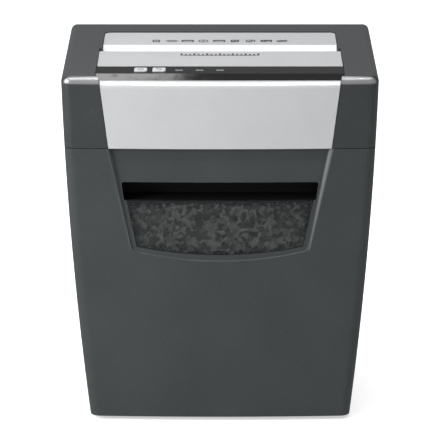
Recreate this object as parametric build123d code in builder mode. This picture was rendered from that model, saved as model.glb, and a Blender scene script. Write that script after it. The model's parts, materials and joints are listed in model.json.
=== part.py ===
from build123d import *
import os
from math import atan2, cos, degrees, pi, radians, sin, sqrt

os.makedirs("parts", exist_ok=True)

# ---------------------------------------------------------------------------
# Driving dimensions, in millimetres.  +Z is up, the front faces -Y, X runs
# across the front, and the feet stand on Z = 0.
# ---------------------------------------------------------------------------

# Outer form: sides are one long arc, the front leans back and bows in plan.
HALF_BASE = 152.6       # half width at the floor
HALF_MID = 173.4        # half width at MID_Z
HALF_TOP = 182.0        # half width at FORM_TOP
MID_Z = 230.0
FORM_TOP = 440.0        # the side arcs run past the top face to here
TOP_FRONT_Z = 418.0     # height of the top face at its front edge
TOP_RISE = 7.0          # how much higher the top face is at the back
FRONT_TOP_Y = -131.0
BACK_TOP_Y = 131.0
FRONT_LEAN = 12.0       # how far the front leans back from top to floor
BACK_LEAN = 7.0
BOW = 6.0               # how far the front's corners stand back from its middle
CORNER_R = 12.0         # upright front corners
TOP_EDGE_R = 8.0
BACK_EDGE_R = 5.0

# Seams
SEAM_Z = 333.5          # the head stands on the cabinet here
HEAD_BOTTOM_Z = 333.9
FLOOR_GAP = 4.0         # height of the feet
DRAWER_Y = -104.0       # upright seam between the cabinet and the drawer front
WALL = 2.6
GAP = 0.4               # visible gap between neighbouring covers

# Paper entry
SLOT_Y = (3.5, 10.5)
SLOT_HALF = 113.0
SLOT_LIP_Z = 402.0
THROAT_Z = (384.0, 401.5)

# Panels in the top
OPENING_HALF = 142.5
OPENING_Y = (-120.0, 86.0)
REAR_OPENING_HALF = 139.2   # the opening is narrower behind OPENING_STEP_Y
OPENING_STEP_Y = 4.3
PANEL_MARGIN = 0.8      # between the opening and the panels in it
OPENING_CORNER_R = 9.0
RIM_T = 2.0             # the opening's edge is turned down by a rim of this thickness
RIM_LOW_Z = 406.0
DECK_BACK_Y = 84.0
DECK_SLOPE_Y = 24.0     # where the rear deck turns down to the slot
DECK_EDGE_Y = -5.5      # rear edge of the front deck
STRIP_Y = (-119.0, -75.0)
STRIP_CREASE_Y = -101.0
PANEL_DROP = 0.8        # panels sit this much below the frame
PANEL_T = 2.6
FASCIA_TOP_HALF = 138.0
FASCIA_BOTTOM_HALF = 127.8
FASCIA_DROP = 6.0       # the fascia's top edge is this much below the frame's front edge

# Cutters
ROLLER_Z = 362.0
ROLLER_GAP = 32.0       # between the two axes
SLOT_MID_Y = sum(SLOT_Y) / 2
FRONT_ROLLER_Y = SLOT_MID_Y - ROLLER_GAP / 2
REAR_ROLLER_Y = SLOT_MID_Y + ROLLER_GAP / 2
DISC_R = 18.5
SPACER_R = 12.9
DISC_COUNT = 24
DISC_PITCH = 9.3
DISC_T = 4.2
DISC_TEETH = 9
DISC_ROOT_R = 16.8
DISC_TWIST = 13.0       # each disc is turned this much from the last, in degrees
JOURNAL_R = 6.0
RUNNING = 0.04          # radial clearance of a running fit
PLATE_X = 117.0         # inner face of the steel side plates
PLATE_T = 3.0

# Gear train, on the right of the right-hand plate: teeth, module
SYNC_TEETH, SYNC_MODULE = 20, 1.6
ROLLER_TEETH, SECOND_PINION_TEETH, SECOND_MODULE = 36, 12, 1.25
SECOND_TEETH, FIRST_PINION_TEETH, FIRST_MODULE = 40, 12, 1.0
FIRST_TEETH, MOTOR_TEETH, MOTOR_MODULE = 44, 10, 0.8
BACKLASH = 0.16         # taken off each flank, as a share of the module
PIN_R = 3.0
GEARBOX_X = 150.0       # inner face of the gearbox plate
GEARBOX_T = 2.0

# Motor, parallel to the rollers and in front of them
MOTOR_R = 24.0
MOTOR_SHAFT_R = 2.5

# Drawer and cabinet
CABINET_WALL = 3.0
CABINET_FLOOR_T = 3.5
TUB_WALL = 2.2
TUB_TOP_Z = 321.0
TUB_BOTTOM_Z = 10.0
TUB_BACK_Y = 108.0
DRAWER_TOP_Z = 333.2
DRAWER_BOTTOM_Z = 5.0
DRAWER_SKIN = 3.0

# Shield-shaped recess in the drawer front, and what is in it
RECESS_HALF_TOP = 127.8
RECESS_HALF_BOTTOM = 103.0
RECESS_CORNER_Z = 209.0
RECESS_LOW_Z = 198.0
RECESS_DEPTH_TOP = 4.8
RECESS_DEPTH_BOTTOM = 1.2
HANDLE_Z = (270.75, 293.0)
HANDLE_HALF = (110.8, 113.4)
POCKET_BACK_Y = -82.0
RECESS_SLOPE = 40.0      # of the recess's side walls, in degrees from straight in
WINDOW_MARGIN = 7.5

FAR = 600.0             # larger than the whole machine


def top_z(y):
    """Height of the top face at depth y."""
    return TOP_FRONT_Z + TOP_RISE * (y - FRONT_TOP_Y) / (BACK_TOP_Y - FRONT_TOP_Y)


def front_y(z):
    """Depth of the front face at its middle, at height z."""
    return FRONT_TOP_Y + FRONT_LEAN * (TOP_FRONT_Z - z) / TOP_FRONT_Z


def bowed_block(offset_low, offset_high, low_z=0.0, high_z=FORM_TOP):
    """Everything behind the bowed front, set back by the two offsets at the two heights."""
    y_low = front_y(low_z) + offset_low
    y_high = front_y(high_z) + offset_high
    with BuildPart() as block:
        with BuildSketch(Plane.XY.offset(low_z)):
            with BuildLine():
                bow = ThreePointArc((-HALF_TOP, y_low + BOW), (0, y_low), (HALF_TOP, y_low + BOW))
                Polyline(bow @ 1, (HALF_TOP, FAR), (-HALF_TOP, FAR), bow @ 0)
            make_face()
        rise = Vector(0, y_high - y_low, high_z - low_z)
        extrude(amount=rise.length, dir=rise.normalized())
    return block.part


def body_form(inset=0.0, round_top=True, drop=0.0):
    """The whole outer form, pulled in by inset on all sides, with its top face lowered by drop."""
    with BuildPart() as form:
        with BuildSketch(Plane.XZ):
            with BuildLine():
                side = ThreePointArc(
                    (HALF_BASE - inset, 0), (HALF_MID - inset, MID_Z), (HALF_TOP - inset, FORM_TOP)
                )
                mirror(side, about=Plane.YZ)
                Line((-(HALF_TOP - inset), FORM_TOP), (HALF_TOP - inset, FORM_TOP))
                Line((-(HALF_BASE - inset), 0), (HALF_BASE - inset, 0))
            make_face()
        extrude(amount=FAR / 2, both=True)
        with BuildSketch(Plane.YZ):
            with BuildLine():
                Polyline(
                    (-FAR / 3, 0),
                    (BACK_TOP_Y - BACK_LEAN - inset, 0),
                    (BACK_TOP_Y - inset, top_z(BACK_TOP_Y) - inset - drop),
                    (-FAR / 3, top_z(-FAR / 3) - inset - drop),
                    close=True,
                )
            make_face()
        extrude(amount=FAR / 2, both=True, mode=Mode.INTERSECT)
        add(bowed_block(inset, inset), mode=Mode.INTERSECT)
        upright = form.edges().filter_by(
            lambda edge: edge.bounding_box().size.Z > 0.8 * TOP_FRONT_Z
        )
        fillet(upright.filter_by(lambda edge: edge.center().Y < 0), max(CORNER_R - inset, 1.0))
        rear = form.edges().filter_by(
            lambda edge: edge.bounding_box().size.Z > 0.8 * TOP_FRONT_Z and edge.center().Y > 50
        )
        fillet(rear, max(BACK_EDGE_R - inset, 1.0))
        if round_top:
            rim = form.faces().sort_by(Axis.Z)[-1].edges()
            fillet(rim, TOP_EDGE_R - inset)
    return form.part


def slab(low_z, high_z, front=-FAR / 2, back=FAR / 2, half_x=FAR / 2):
    """A plain block between two heights, and between two depths."""
    with BuildPart() as block:
        with BuildSketch(Plane.XY.offset(low_z)):
            with Locations((0, (front + back) / 2)):
                Rectangle(2 * half_x, back - front)
        extrude(amount=high_z - low_z)
    return block.part


def yz_prism(points, half_x, shift_x=0.0):
    """A closed outline in the YZ plane, carried half_x to each side of shift_x."""
    with BuildPart() as prism:
        with BuildSketch(Plane.YZ.offset(shift_x)):
            with BuildLine():
                Polyline(*points, close=True)
            make_face()
        extrude(amount=half_x, both=True)
    return prism.part


def save(builder, name):
    """Labels a finished piece and writes its STEP file."""
    builder.part.label = name
    export_step(builder.part, f"parts/{name}.step")


OUTER = body_form()
INNER = body_form(WALL)

# ---------------------------------------------------------------------------
# Head covers
# ---------------------------------------------------------------------------

BASE_TOP_Z = 336.5
SCREW_R = 2.0
SCREW_HEAD_R = 4.0
SCREW_HEAD_H = 2.4
HEAD_SCREW_XY = [(x, y) for x in (-163.0, 163.0) for y in (-95.0, 104.0)]
HEAD_SCREW_L = 16.0     # of thread in the post
HEAD_POST_R = 4.5
SWITCH_X, SWITCH_Z = 112.0, 372.0
GLAND_X, GLAND_Z, GLAND_R = 148.0, 352.0, 6.0
VENT_X = (-60.0, 60.0)
VENT_COUNT, VENT_PITCH, VENT_SIZE = 9, 9.0, (3.0, 40.0)


def trapezoid_prism(top_half, bottom_half, back_y):
    """A prism with the fascia's slanted sides, from the front back to back_y."""
    with BuildPart() as prism:
        with BuildSketch(Plane.XZ.offset(-back_y)):
            with BuildLine():
                Polyline(
                    (-top_half, FORM_TOP),
                    (-top_half, TOP_FRONT_Z),
                    (-bottom_half, SEAM_Z),
                    (bottom_half, SEAM_Z),
                    (top_half, TOP_FRONT_Z),
                    (top_half, FORM_TOP),
                    close=True,
                )
            make_face()
        extrude(amount=FAR / 2)
    return prism.part


def opening_prism(front, margin, low_z):
    """The top opening's outline, grown by margin, carried up from low_z past the top face."""
    step, back = OPENING_STEP_Y + margin, OPENING_Y[1] + margin
    with BuildPart() as prism:
        with BuildSketch(Plane.XY.offset(low_z)):
            with Locations((0, (front + back) / 2)):
                Rectangle(2 * (REAR_OPENING_HALF + margin), back - front)
            fillet(vertices().group_by(Axis.Y)[-1], OPENING_CORNER_R + margin)
            with Locations((0, (front + step) / 2)):
                Rectangle(2 * (OPENING_HALF + margin), step - front)
        extrude(amount=FORM_TOP - low_z)
    return prism.part


with BuildPart() as top_cover:
    add(OUTER)
    add(INNER, mode=Mode.SUBTRACT)
    add(slab(HEAD_BOTTOM_Z, FORM_TOP), mode=Mode.INTERSECT)
    # screw posts that hang from the top face down to the base plate
    for post_x, post_y in HEAD_SCREW_XY:
        with BuildSketch(Plane.XY.offset(BASE_TOP_Z)):
            with Locations((post_x, post_y)):
                Circle(HEAD_POST_R)
        extrude(amount=top_z(post_y) - WALL / 2 - BASE_TOP_Z)
        with BuildSketch(Plane.XY.offset(BASE_TOP_Z)):
            with Locations((post_x, post_y)):
                Circle(SCREW_R)
        extrude(amount=HEAD_SCREW_L, mode=Mode.SUBTRACT)
    # the opening for the silver panels, with rounded rear corners and a turned-down rim
    with BuildPart(mode=Mode.PRIVATE) as opening_rim:
        add(opening_prism(-FAR / 3, RIM_T, RIM_LOW_Z))
        add(OUTER, mode=Mode.INTERSECT)
    add(opening_rim.part)
    add(opening_prism(OPENING_Y[0], 0, RIM_LOW_Z - 1), mode=Mode.SUBTRACT)
    add(
        trapezoid_prism(FASCIA_TOP_HALF + 2 * GAP, FASCIA_BOTTOM_HALF + 2 * GAP, FRONT_TOP_Y + 30),
        mode=Mode.SUBTRACT,
    )
    # rear vents, mains switch window and cord hole
    with BuildSketch(Plane.XZ.offset(-(BACK_TOP_Y + 10))):
        for vent_x in VENT_X:
            with Locations((vent_x, SWITCH_Z)):
                with GridLocations(VENT_PITCH, 0, VENT_COUNT, 1):
                    SlotOverall(VENT_SIZE[1], VENT_SIZE[0], rotation=90)
        with Locations((SWITCH_X, SWITCH_Z)):
            Rectangle(19.2, 27.2)
        with Locations((GLAND_X, GLAND_Z)):
            Circle(GLAND_R)
    extrude(amount=20, mode=Mode.SUBTRACT)
save(top_cover, "top_cover")

with BuildPart() as front_fascia:
    add(body_form(drop=FASCIA_DROP))
    add(body_form(WALL, drop=FASCIA_DROP), mode=Mode.SUBTRACT)
    add(
        trapezoid_prism(FASCIA_TOP_HALF, FASCIA_BOTTOM_HALF, STRIP_Y[0] - GAP),
        mode=Mode.INTERSECT,
    )
    add(slab(HEAD_BOTTOM_Z, FORM_TOP), mode=Mode.INTERSECT)
save(front_fascia, "front_fascia")


def panel_z(y):
    """Top surface of the panels set into the frame."""
    return top_z(y) - PANEL_DROP


with BuildPart() as rear_deck:
    add(
        yz_prism(
            [
                (DECK_BACK_Y, panel_z(DECK_BACK_Y)),
                (DECK_SLOPE_Y, panel_z(DECK_SLOPE_Y)),
                (SLOT_Y[1], SLOT_LIP_Z + 6),
                (SLOT_Y[1], SLOT_LIP_Z),
                (SLOT_Y[1] + PANEL_T, SLOT_LIP_Z),
                (SLOT_Y[1] + PANEL_T, SLOT_LIP_Z + 5),
                (DECK_SLOPE_Y + 1.5, panel_z(DECK_SLOPE_Y) - PANEL_T),
                (DECK_BACK_Y, panel_z(DECK_BACK_Y) - PANEL_T),
            ],
            REAR_OPENING_HALF - PANEL_MARGIN,
        )
    )
    crease = rear_deck.edges().filter_by(Axis.X).filter_by(
        lambda edge: abs(edge.center().Y - DECK_SLOPE_Y) < 2
    )
    fillet(crease, 2.0)
    corners = rear_deck.edges().filter_by(
        lambda edge: edge.center().Y > DECK_BACK_Y - 0.1 and edge.length < 2 * PANEL_T
    )
    fillet(corners, 7.5)
save(rear_deck, "rear_deck")

with BuildPart() as front_deck:
    add(
        yz_prism(
            [
                (STRIP_Y[1], panel_z(STRIP_Y[1])),
                (DECK_EDGE_Y, panel_z(DECK_EDGE_Y)),
                (SLOT_Y[0], SLOT_LIP_Z + 6),
                (SLOT_Y[0], SLOT_LIP_Z),
                (SLOT_Y[0] - PANEL_T, SLOT_LIP_Z),
                (SLOT_Y[0] - PANEL_T, SLOT_LIP_Z + 5),
                (DECK_EDGE_Y - 2.0, panel_z(DECK_EDGE_Y) - PANEL_T),
                (STRIP_Y[1] + PANEL_T, panel_z(STRIP_Y[1]) - PANEL_T),
                (STRIP_Y[1] + PANEL_T, panel_z(STRIP_Y[1]) - 8.0),
                (STRIP_Y[1], panel_z(STRIP_Y[1]) - 8.0),
            ],
            OPENING_HALF - PANEL_MARGIN,
        )
    )
    lip = front_deck.edges().filter_by(Axis.X).filter_by(
        lambda edge: abs(edge.center().Y - DECK_EDGE_Y) < 2.5
    )
    fillet(lip, 1.8)
save(front_deck, "front_deck")

# Control strip: a gloss tray that falls a little towards the front, and more past its crease
STRIP_FALL = (1.0, 2.6, 7.2)    # below the frame at its rear edge, its crease and its front edge
STRIP_T = 2.4
STRIP_LIP = 7.0
BUTTON_X = (-91.0, -70.0)
BUTTON_Y = -89.0
BUTTON_SIZE = (15.0, 12.0)
BUTTON_PROUD = 1.4
LENS_X = (-47.0, -23.5, 0.0)
LENS_SIZE = (9.0, 4.0)
BOARD_DEPTH = 14.0      # the board hangs this far below the strip's face
POST_XY = [(x, y) for x in (-112.0, 14.0) for y in (-11.0, 9.0)]


def strip_z(y):
    """Top surface of the control strip's rear part at depth y."""
    share = (y - STRIP_CREASE_Y) / (STRIP_Y[1] - STRIP_CREASE_Y)
    fall = STRIP_FALL[1] + share * (STRIP_FALL[0] - STRIP_FALL[1])
    return top_z(y) - fall


STRIP_FRONT_Z = top_z(STRIP_Y[0]) - STRIP_FALL[2]
STRIP_TILT = degrees(
    atan2(strip_z(STRIP_Y[1]) - strip_z(STRIP_CREASE_Y), STRIP_Y[1] - STRIP_CREASE_Y)
)
STRIP_PLANE = Plane(
    origin=(0, BUTTON_Y, strip_z(BUTTON_Y)),
    x_dir=(1, 0, 0),
    z_dir=(0, -sin(radians(STRIP_TILT)), cos(radians(STRIP_TILT))),
)

with BuildPart() as control_strip:
    strip_rear_y = STRIP_Y[1] - GAP
    strip_rear_z = strip_z(STRIP_Y[1])
    strip_outline = [
        (STRIP_Y[0], STRIP_FRONT_Z),
        (STRIP_CREASE_Y, strip_z(STRIP_CREASE_Y)),
        (strip_rear_y, strip_rear_z),
        (strip_rear_y, strip_rear_z - STRIP_LIP),
        (strip_rear_y - STRIP_T, strip_rear_z - STRIP_LIP),
        (strip_rear_y - STRIP_T, strip_rear_z - STRIP_T),
        (STRIP_CREASE_Y, strip_z(STRIP_CREASE_Y) - STRIP_T),
        (STRIP_Y[0] + STRIP_T, STRIP_FRONT_Z - STRIP_T),
        (STRIP_Y[0] + STRIP_T, STRIP_FRONT_Z - STRIP_LIP),
        (STRIP_Y[0], STRIP_FRONT_Z - STRIP_LIP),
    ]
    add(yz_prism(strip_outline, OPENING_HALF - PANEL_MARGIN / 2))
    with BuildSketch(STRIP_PLANE.offset(-5)):
        for button_x in BUTTON_X:
            with Locations((button_x, 0)):
                RectangleRounded(BUTTON_SIZE[0] + 2 * GAP, BUTTON_SIZE[1] + 2 * GAP, 3.0)
        for lens_x in LENS_X:
            with Locations((lens_x, 0)):
                RectangleRounded(LENS_SIZE[0], LENS_SIZE[1], 1.5)
    extrude(amount=10, mode=Mode.SUBTRACT)
    with BuildSketch(STRIP_PLANE.offset(-BOARD_DEPTH)):
        with Locations(*POST_XY):
            Circle(3.0)
    extrude(amount=BOARD_DEPTH - STRIP_T / 2)
save(control_strip, "control_strip")

for button_x, button_name in zip(BUTTON_X, ("power_button", "reverse_button")):
    with BuildPart() as button:
        with BuildSketch(STRIP_PLANE.offset(-2.6)):
            with Locations((button_x, 0)):
                RectangleRounded(BUTTON_SIZE[0], BUTTON_SIZE[1], 2.6)
        extrude(amount=2.6 + BUTTON_PROUD)
        fillet(button.faces().sort_by(Axis.Z)[-1].edges(), 0.6)
        # flange under the strip, and the stem that meets the switch
        with BuildSketch(STRIP_PLANE.offset(-STRIP_T - 1.4)):
            with Locations((button_x, 0)):
                RectangleRounded(BUTTON_SIZE[0] + 4, BUTTON_SIZE[1] + 4, 3.5)
        extrude(amount=1.2)
        with BuildSketch(STRIP_PLANE.offset(-8.0)):
            with Locations((button_x, 0)):
                Circle(2.5)
        extrude(amount=8.0 - STRIP_T)
    save(button, button_name)

with BuildPart() as indicator_lenses:
    with BuildSketch(STRIP_PLANE.offset(-4.0)):
        for lens_x in LENS_X:
            with Locations((lens_x, 0)):
                RectangleRounded(LENS_SIZE[0], LENS_SIZE[1], 1.5)
    extrude(amount=4.1)
save(indicator_lenses, "indicator_lenses")

# ---------------------------------------------------------------------------
# Head base, paper throat and controls board
# ---------------------------------------------------------------------------

CHIP_HALF = 115.0
CHIP_Y = (-31.0, 45.0)
CHASSIS_SCREW_Y = (-44.0, 55.0)
CHASSIS_SCREW_X = 109.0
CHASSIS_SCREW_XY = [(side * CHASSIS_SCREW_X, y) for side in (-1, 1) for y in CHASSIS_SCREW_Y]
POWER_BOARD_Z = 341.0
POWER_BOARD_MID = (-60.0, 92.0)
POWER_BOARD_SIZE = (86.0, 40.0)
POWER_POST_XY = [
    (POWER_BOARD_MID[0] + 38 * i, POWER_BOARD_MID[1] + 15 * j) for i in (-1, 1) for j in (-1, 1)
]

with BuildPart() as head_base:
    add(body_form(1.2, round_top=False))
    add(slab(SEAM_Z, HEAD_BOTTOM_Z), mode=Mode.INTERSECT)
    with BuildPart(mode=Mode.PRIVATE) as base_plate:
        add(body_form(WALL + 0.3, round_top=False))
        add(slab(SEAM_Z, BASE_TOP_Z), mode=Mode.INTERSECT)
    add(base_plate.part)
    with BuildSketch(Plane.XY.offset(SEAM_Z)):
        with Locations((0, sum(CHIP_Y) / 2)):
            RectangleRounded(2 * CHIP_HALF, CHIP_Y[1] - CHIP_Y[0], 4)
        with Locations(*CHASSIS_SCREW_XY, *HEAD_SCREW_XY):
            Circle(SCREW_R)
    extrude(amount=10, mode=Mode.SUBTRACT)
    with BuildSketch(Plane.XY.offset(BASE_TOP_Z)):
        with Locations(*POWER_POST_XY):
            Circle(3.0)
    extrude(amount=POWER_BOARD_Z - BASE_TOP_Z)
save(head_base, "head_base")

with BuildPart() as throat_guide:
    with BuildSketch(Plane.XY.offset(THROAT_Z[0])):
        with Locations((0, SLOT_MID_Y)):
            Rectangle(2 * (PLATE_X - GAP), SLOT_Y[1] - SLOT_Y[0] + 9)
    extrude(amount=THROAT_Z[1] - THROAT_Z[0])
    # the ears close the gap between the decks past the ends of the slot
    with BuildSketch(Plane.XY.offset(THROAT_Z[1] - 7)):
        with Locations((0, SLOT_MID_Y)):
            Rectangle(2 * (REAR_OPENING_HALF - 2), SLOT_Y[1] - SLOT_Y[0] - 0.2)
    extrude(amount=SLOT_LIP_Z + 4.5 - THROAT_Z[1] + 7)
    with BuildSketch(Plane.XY.offset(THROAT_Z[0])):
        with Locations((0, SLOT_MID_Y)):
            Rectangle(2 * SLOT_HALF, SLOT_Y[1] - SLOT_Y[0])
    extrude(amount=FAR / 4, mode=Mode.SUBTRACT)
    mouth = throat_guide.edges().filter_by(Axis.X).filter_by(
        lambda edge: abs(edge.center().Z - THROAT_Z[0]) < 0.1
        and abs(edge.center().Y - SLOT_MID_Y) < 4
    )
    chamfer(mouth, 1.2)
save(throat_guide, "throat_guide")

with BuildPart() as paper_sensors:
    for sensor_y in (SLOT_Y[0] - 4.5 - 4.1, SLOT_Y[1] + 4.5 + 4.1):
        with BuildSketch(Plane.XY.offset(386)):
            with Locations((0, sensor_y)):
                RectangleRounded(14, 8, 1)
        extrude(amount=11)
save(paper_sensors, "paper_sensors")

BOARD_T = 1.6
TACT_H = 4.4

with BuildPart() as control_board:
    with BuildSketch(STRIP_PLANE.offset(-BOARD_DEPTH - BOARD_T)):
        with Locations((-49, -1)):
            Rectangle(136, 28)
        with Locations(*POST_XY):
            Circle(1.5, mode=Mode.SUBTRACT)
    extrude(amount=BOARD_T)
save(control_board, "control_board")

with BuildPart() as board_screws:
    with BuildSketch(STRIP_PLANE.offset(-BOARD_DEPTH - BOARD_T)):
        with Locations(*POST_XY):
            Circle(1.5)
    extrude(amount=BOARD_T)
    with BuildSketch(STRIP_PLANE.offset(-BOARD_DEPTH - BOARD_T)):
        with Locations(*POST_XY):
            Circle(2.8)
    extrude(amount=-1.6)
save(board_screws, "board_screws")

with BuildPart() as push_switches:
    with BuildSketch(STRIP_PLANE.offset(-BOARD_DEPTH)):
        with Locations(*[(x, 0) for x in BUTTON_X]):
            Rectangle(6, 6)
    extrude(amount=TACT_H - 1)
    with BuildSketch(STRIP_PLANE.offset(-BOARD_DEPTH)):
        with Locations(*[(x, 0) for x in BUTTON_X]):
            Circle(1.75)
    extrude(amount=TACT_H)
save(push_switches, "push_switches")

with BuildPart() as indicator_leds:
    with BuildSketch(STRIP_PLANE.offset(-BOARD_DEPTH)):
        with Locations(*[(x, 0) for x in LENS_X]):
            Circle(1.5)
    extrude(amount=BOARD_DEPTH - 5.5)
    fillet(indicator_leds.edges().group_by(Axis.Z)[-1], 1.0)
save(indicator_leds, "indicator_leds")

# ---------------------------------------------------------------------------
# Cutter block
# ---------------------------------------------------------------------------


def disc_outline(teeth, root_r, tip_r, phase):
    """A cutting disc's outline: hooked teeth that rise slowly and drop steeply."""
    points = []
    for tooth in range(teeth):
        start = radians(phase + tooth * 360 / teeth)
        for share, radius in ((0.0, root_r), (0.55, tip_r), (0.8, tip_r), (0.86, root_r)):
            angle = start + share * 2 * pi / teeth
            points.append((radius * cos(angle), radius * sin(angle)))
    return points


def cutter_roller(axis_y, shift_x, right_end):
    """A roller turned and milled from one bar: journals, a core and the cutting discs."""
    with BuildPart() as roller:
        with BuildSketch(Plane.YZ.offset(-136)):
            with Locations((axis_y, ROLLER_Z)):
                Circle(JOURNAL_R)
        extrude(amount=right_end + 136)
        with BuildSketch(Plane.YZ.offset(-113)):
            with Locations((axis_y, ROLLER_Z)):
                Circle(SPACER_R)
        extrude(amount=226)
        for index in range(DISC_COUNT):
            disc_x = (index - (DISC_COUNT - 1) / 2) * DISC_PITCH + shift_x
            phase = index * DISC_TWIST
            with BuildSketch(Plane.YZ.offset(disc_x - DISC_T / 2)):
                with Locations((axis_y, ROLLER_Z)):
                    Polygon(*disc_outline(DISC_TEETH, DISC_ROOT_R, DISC_R, phase), align=None)
            extrude(amount=DISC_T)
    return roller


front_cutter_roller = cutter_roller(FRONT_ROLLER_Y, -DISC_PITCH / 4, 131.0)
save(front_cutter_roller, "front_cutter_roller")

# the rear roller is the mirror of one that stands before the origin
with BuildPart() as rear_cutter_roller:
    mirror(cutter_roller(-REAR_ROLLER_Y, DISC_PITCH / 4, 121.5).part, about=Plane.XZ)
save(rear_cutter_roller, "rear_cutter_roller")

COMB_R = SPACER_R + 0.6
COMB_FINGER_T = 3.8
COMB_BAR = (19.8, 29.0)     # distance of the bar's two faces from the roller's axis


def stripper_comb(axis_y, shift_x, side):
    """A bar beside the roller with a finger in each gap between its discs."""
    with BuildPart() as comb:
        with BuildSketch(Plane.YZ.offset(-PLATE_X)):
            with Locations((axis_y + side * sum(COMB_BAR) / 2, ROLLER_Z)):
                Rectangle(COMB_BAR[1] - COMB_BAR[0], 18)
        extrude(amount=2 * PLATE_X)
        for index in range(DISC_COUNT + 1):
            finger_x = (index - DISC_COUNT / 2) * DISC_PITCH + shift_x
            if abs(finger_x) > 112.5 - COMB_FINGER_T / 2:
                continue
            with BuildSketch(Plane.YZ.offset(finger_x - COMB_FINGER_T / 2)):
                with Locations((axis_y + side * (COMB_BAR[0] - 5), ROLLER_Z)):
                    Rectangle(11, 13)
                with Locations((axis_y, ROLLER_Z)):
                    Circle(COMB_R, mode=Mode.SUBTRACT)
            extrude(amount=COMB_FINGER_T)
    return comb


front_stripper_comb = stripper_comb(FRONT_ROLLER_Y, -DISC_PITCH / 4, -1)
save(front_stripper_comb, "front_stripper_comb")
rear_stripper_comb = stripper_comb(REAR_ROLLER_Y, DISC_PITCH / 4, 1)
save(rear_stripper_comb, "rear_stripper_comb")


def polar(origin, distance, angle):
    """The point at a distance and an angle, in degrees, from another in the YZ plane."""
    return (
        origin[0] + distance * cos(radians(angle)),
        origin[1] + distance * sin(radians(angle)),
    )


SECOND_ANGLE, FIRST_ANGLE, MOTOR_ANGLE = 165.0, 203.0, 146.0
FRONT_AXIS = (FRONT_ROLLER_Y, ROLLER_Z)
REAR_AXIS = (REAR_ROLLER_Y, ROLLER_Z)
SECOND_AXIS = polar(
    FRONT_AXIS, SECOND_MODULE * (ROLLER_TEETH + SECOND_PINION_TEETH) / 2, SECOND_ANGLE
)
FIRST_AXIS = polar(
    SECOND_AXIS, FIRST_MODULE * (SECOND_TEETH + FIRST_PINION_TEETH) / 2, FIRST_ANGLE
)
MOTOR_AXIS = polar(FIRST_AXIS, MOTOR_MODULE * (FIRST_TEETH + MOTOR_TEETH) / 2, MOTOR_ANGLE)
BUSH_R = 9.0
TIE_ROD_YZ = [(y, z) for y in (-47.0, 57.0) for z in (348.5, 384.0)]
TIE_ROD_R = 4.0
FOOT_T = 3.0
FOOT_W = 15.0


def side_plate(side, outline, holes):
    """A steel plate with two feet bent inwards, drilled for shafts, rods and screws."""
    with BuildPart() as plate:
        with BuildSketch(Plane.YZ.offset(side * PLATE_X)):
            with BuildLine():
                Polyline(*outline, close=True)
            make_face()
            with Locations(FRONT_AXIS, REAR_AXIS):
                Circle(BUSH_R, mode=Mode.SUBTRACT)
            with Locations(*TIE_ROD_YZ):
                Circle(SCREW_R, mode=Mode.SUBTRACT)
            for centre, radius in holes:
                with Locations(centre):
                    Circle(radius, mode=Mode.SUBTRACT)
        extrude(amount=side * PLATE_T)
        for screw_y in CHASSIS_SCREW_Y:
            with BuildSketch(Plane.XY.offset(BASE_TOP_Z)):
                with Locations((side * (PLATE_X - FOOT_W / 2), screw_y)):
                    Rectangle(FOOT_W, 13)
                with Locations((side * CHASSIS_SCREW_X, screw_y)):
                    Circle(SCREW_R, mode=Mode.SUBTRACT)
            extrude(amount=FOOT_T)
    return plate


PLATE_BACK_Y, PLATE_TOP_Z = 64.0, 391.0
left_side_plate = side_plate(
    -1,
    [(-54, BASE_TOP_Z), (PLATE_BACK_Y, BASE_TOP_Z), (PLATE_BACK_Y, PLATE_TOP_Z), (-54, PLATE_TOP_Z)],
    [],
)
save(left_side_plate, "left_side_plate")
right_side_plate = side_plate(
    1,
    [
        (-108, BASE_TOP_Z),
        (PLATE_BACK_Y, BASE_TOP_Z),
        (PLATE_BACK_Y, PLATE_TOP_Z),
        (-6, PLATE_TOP_Z),
        (-13, 398),
        (-108, 398),
    ],
    [(SECOND_AXIS, PIN_R), (FIRST_AXIS, PIN_R), (MOTOR_AXIS, 6.0)],
)
save(right_side_plate, "right_side_plate")

with BuildPart() as cutter_bushes:
    for side in (-1, 1):
        for axis in (FRONT_AXIS, REAR_AXIS):
            with BuildSketch(Plane.YZ.offset(side * (PLATE_X - 1.5))):
                with Locations(axis):
                    Circle(BUSH_R)
                    Circle(JOURNAL_R + RUNNING, mode=Mode.SUBTRACT)
            extrude(amount=side * (PLATE_T + 2.0))
save(cutter_bushes, "cutter_bushes")

with BuildPart() as tie_rods:
    with BuildSketch(Plane.YZ.offset(-PLATE_X)):
        with Locations(*TIE_ROD_YZ):
            Circle(TIE_ROD_R)
    extrude(amount=2 * PLATE_X)
save(tie_rods, "tie_rods")

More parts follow.
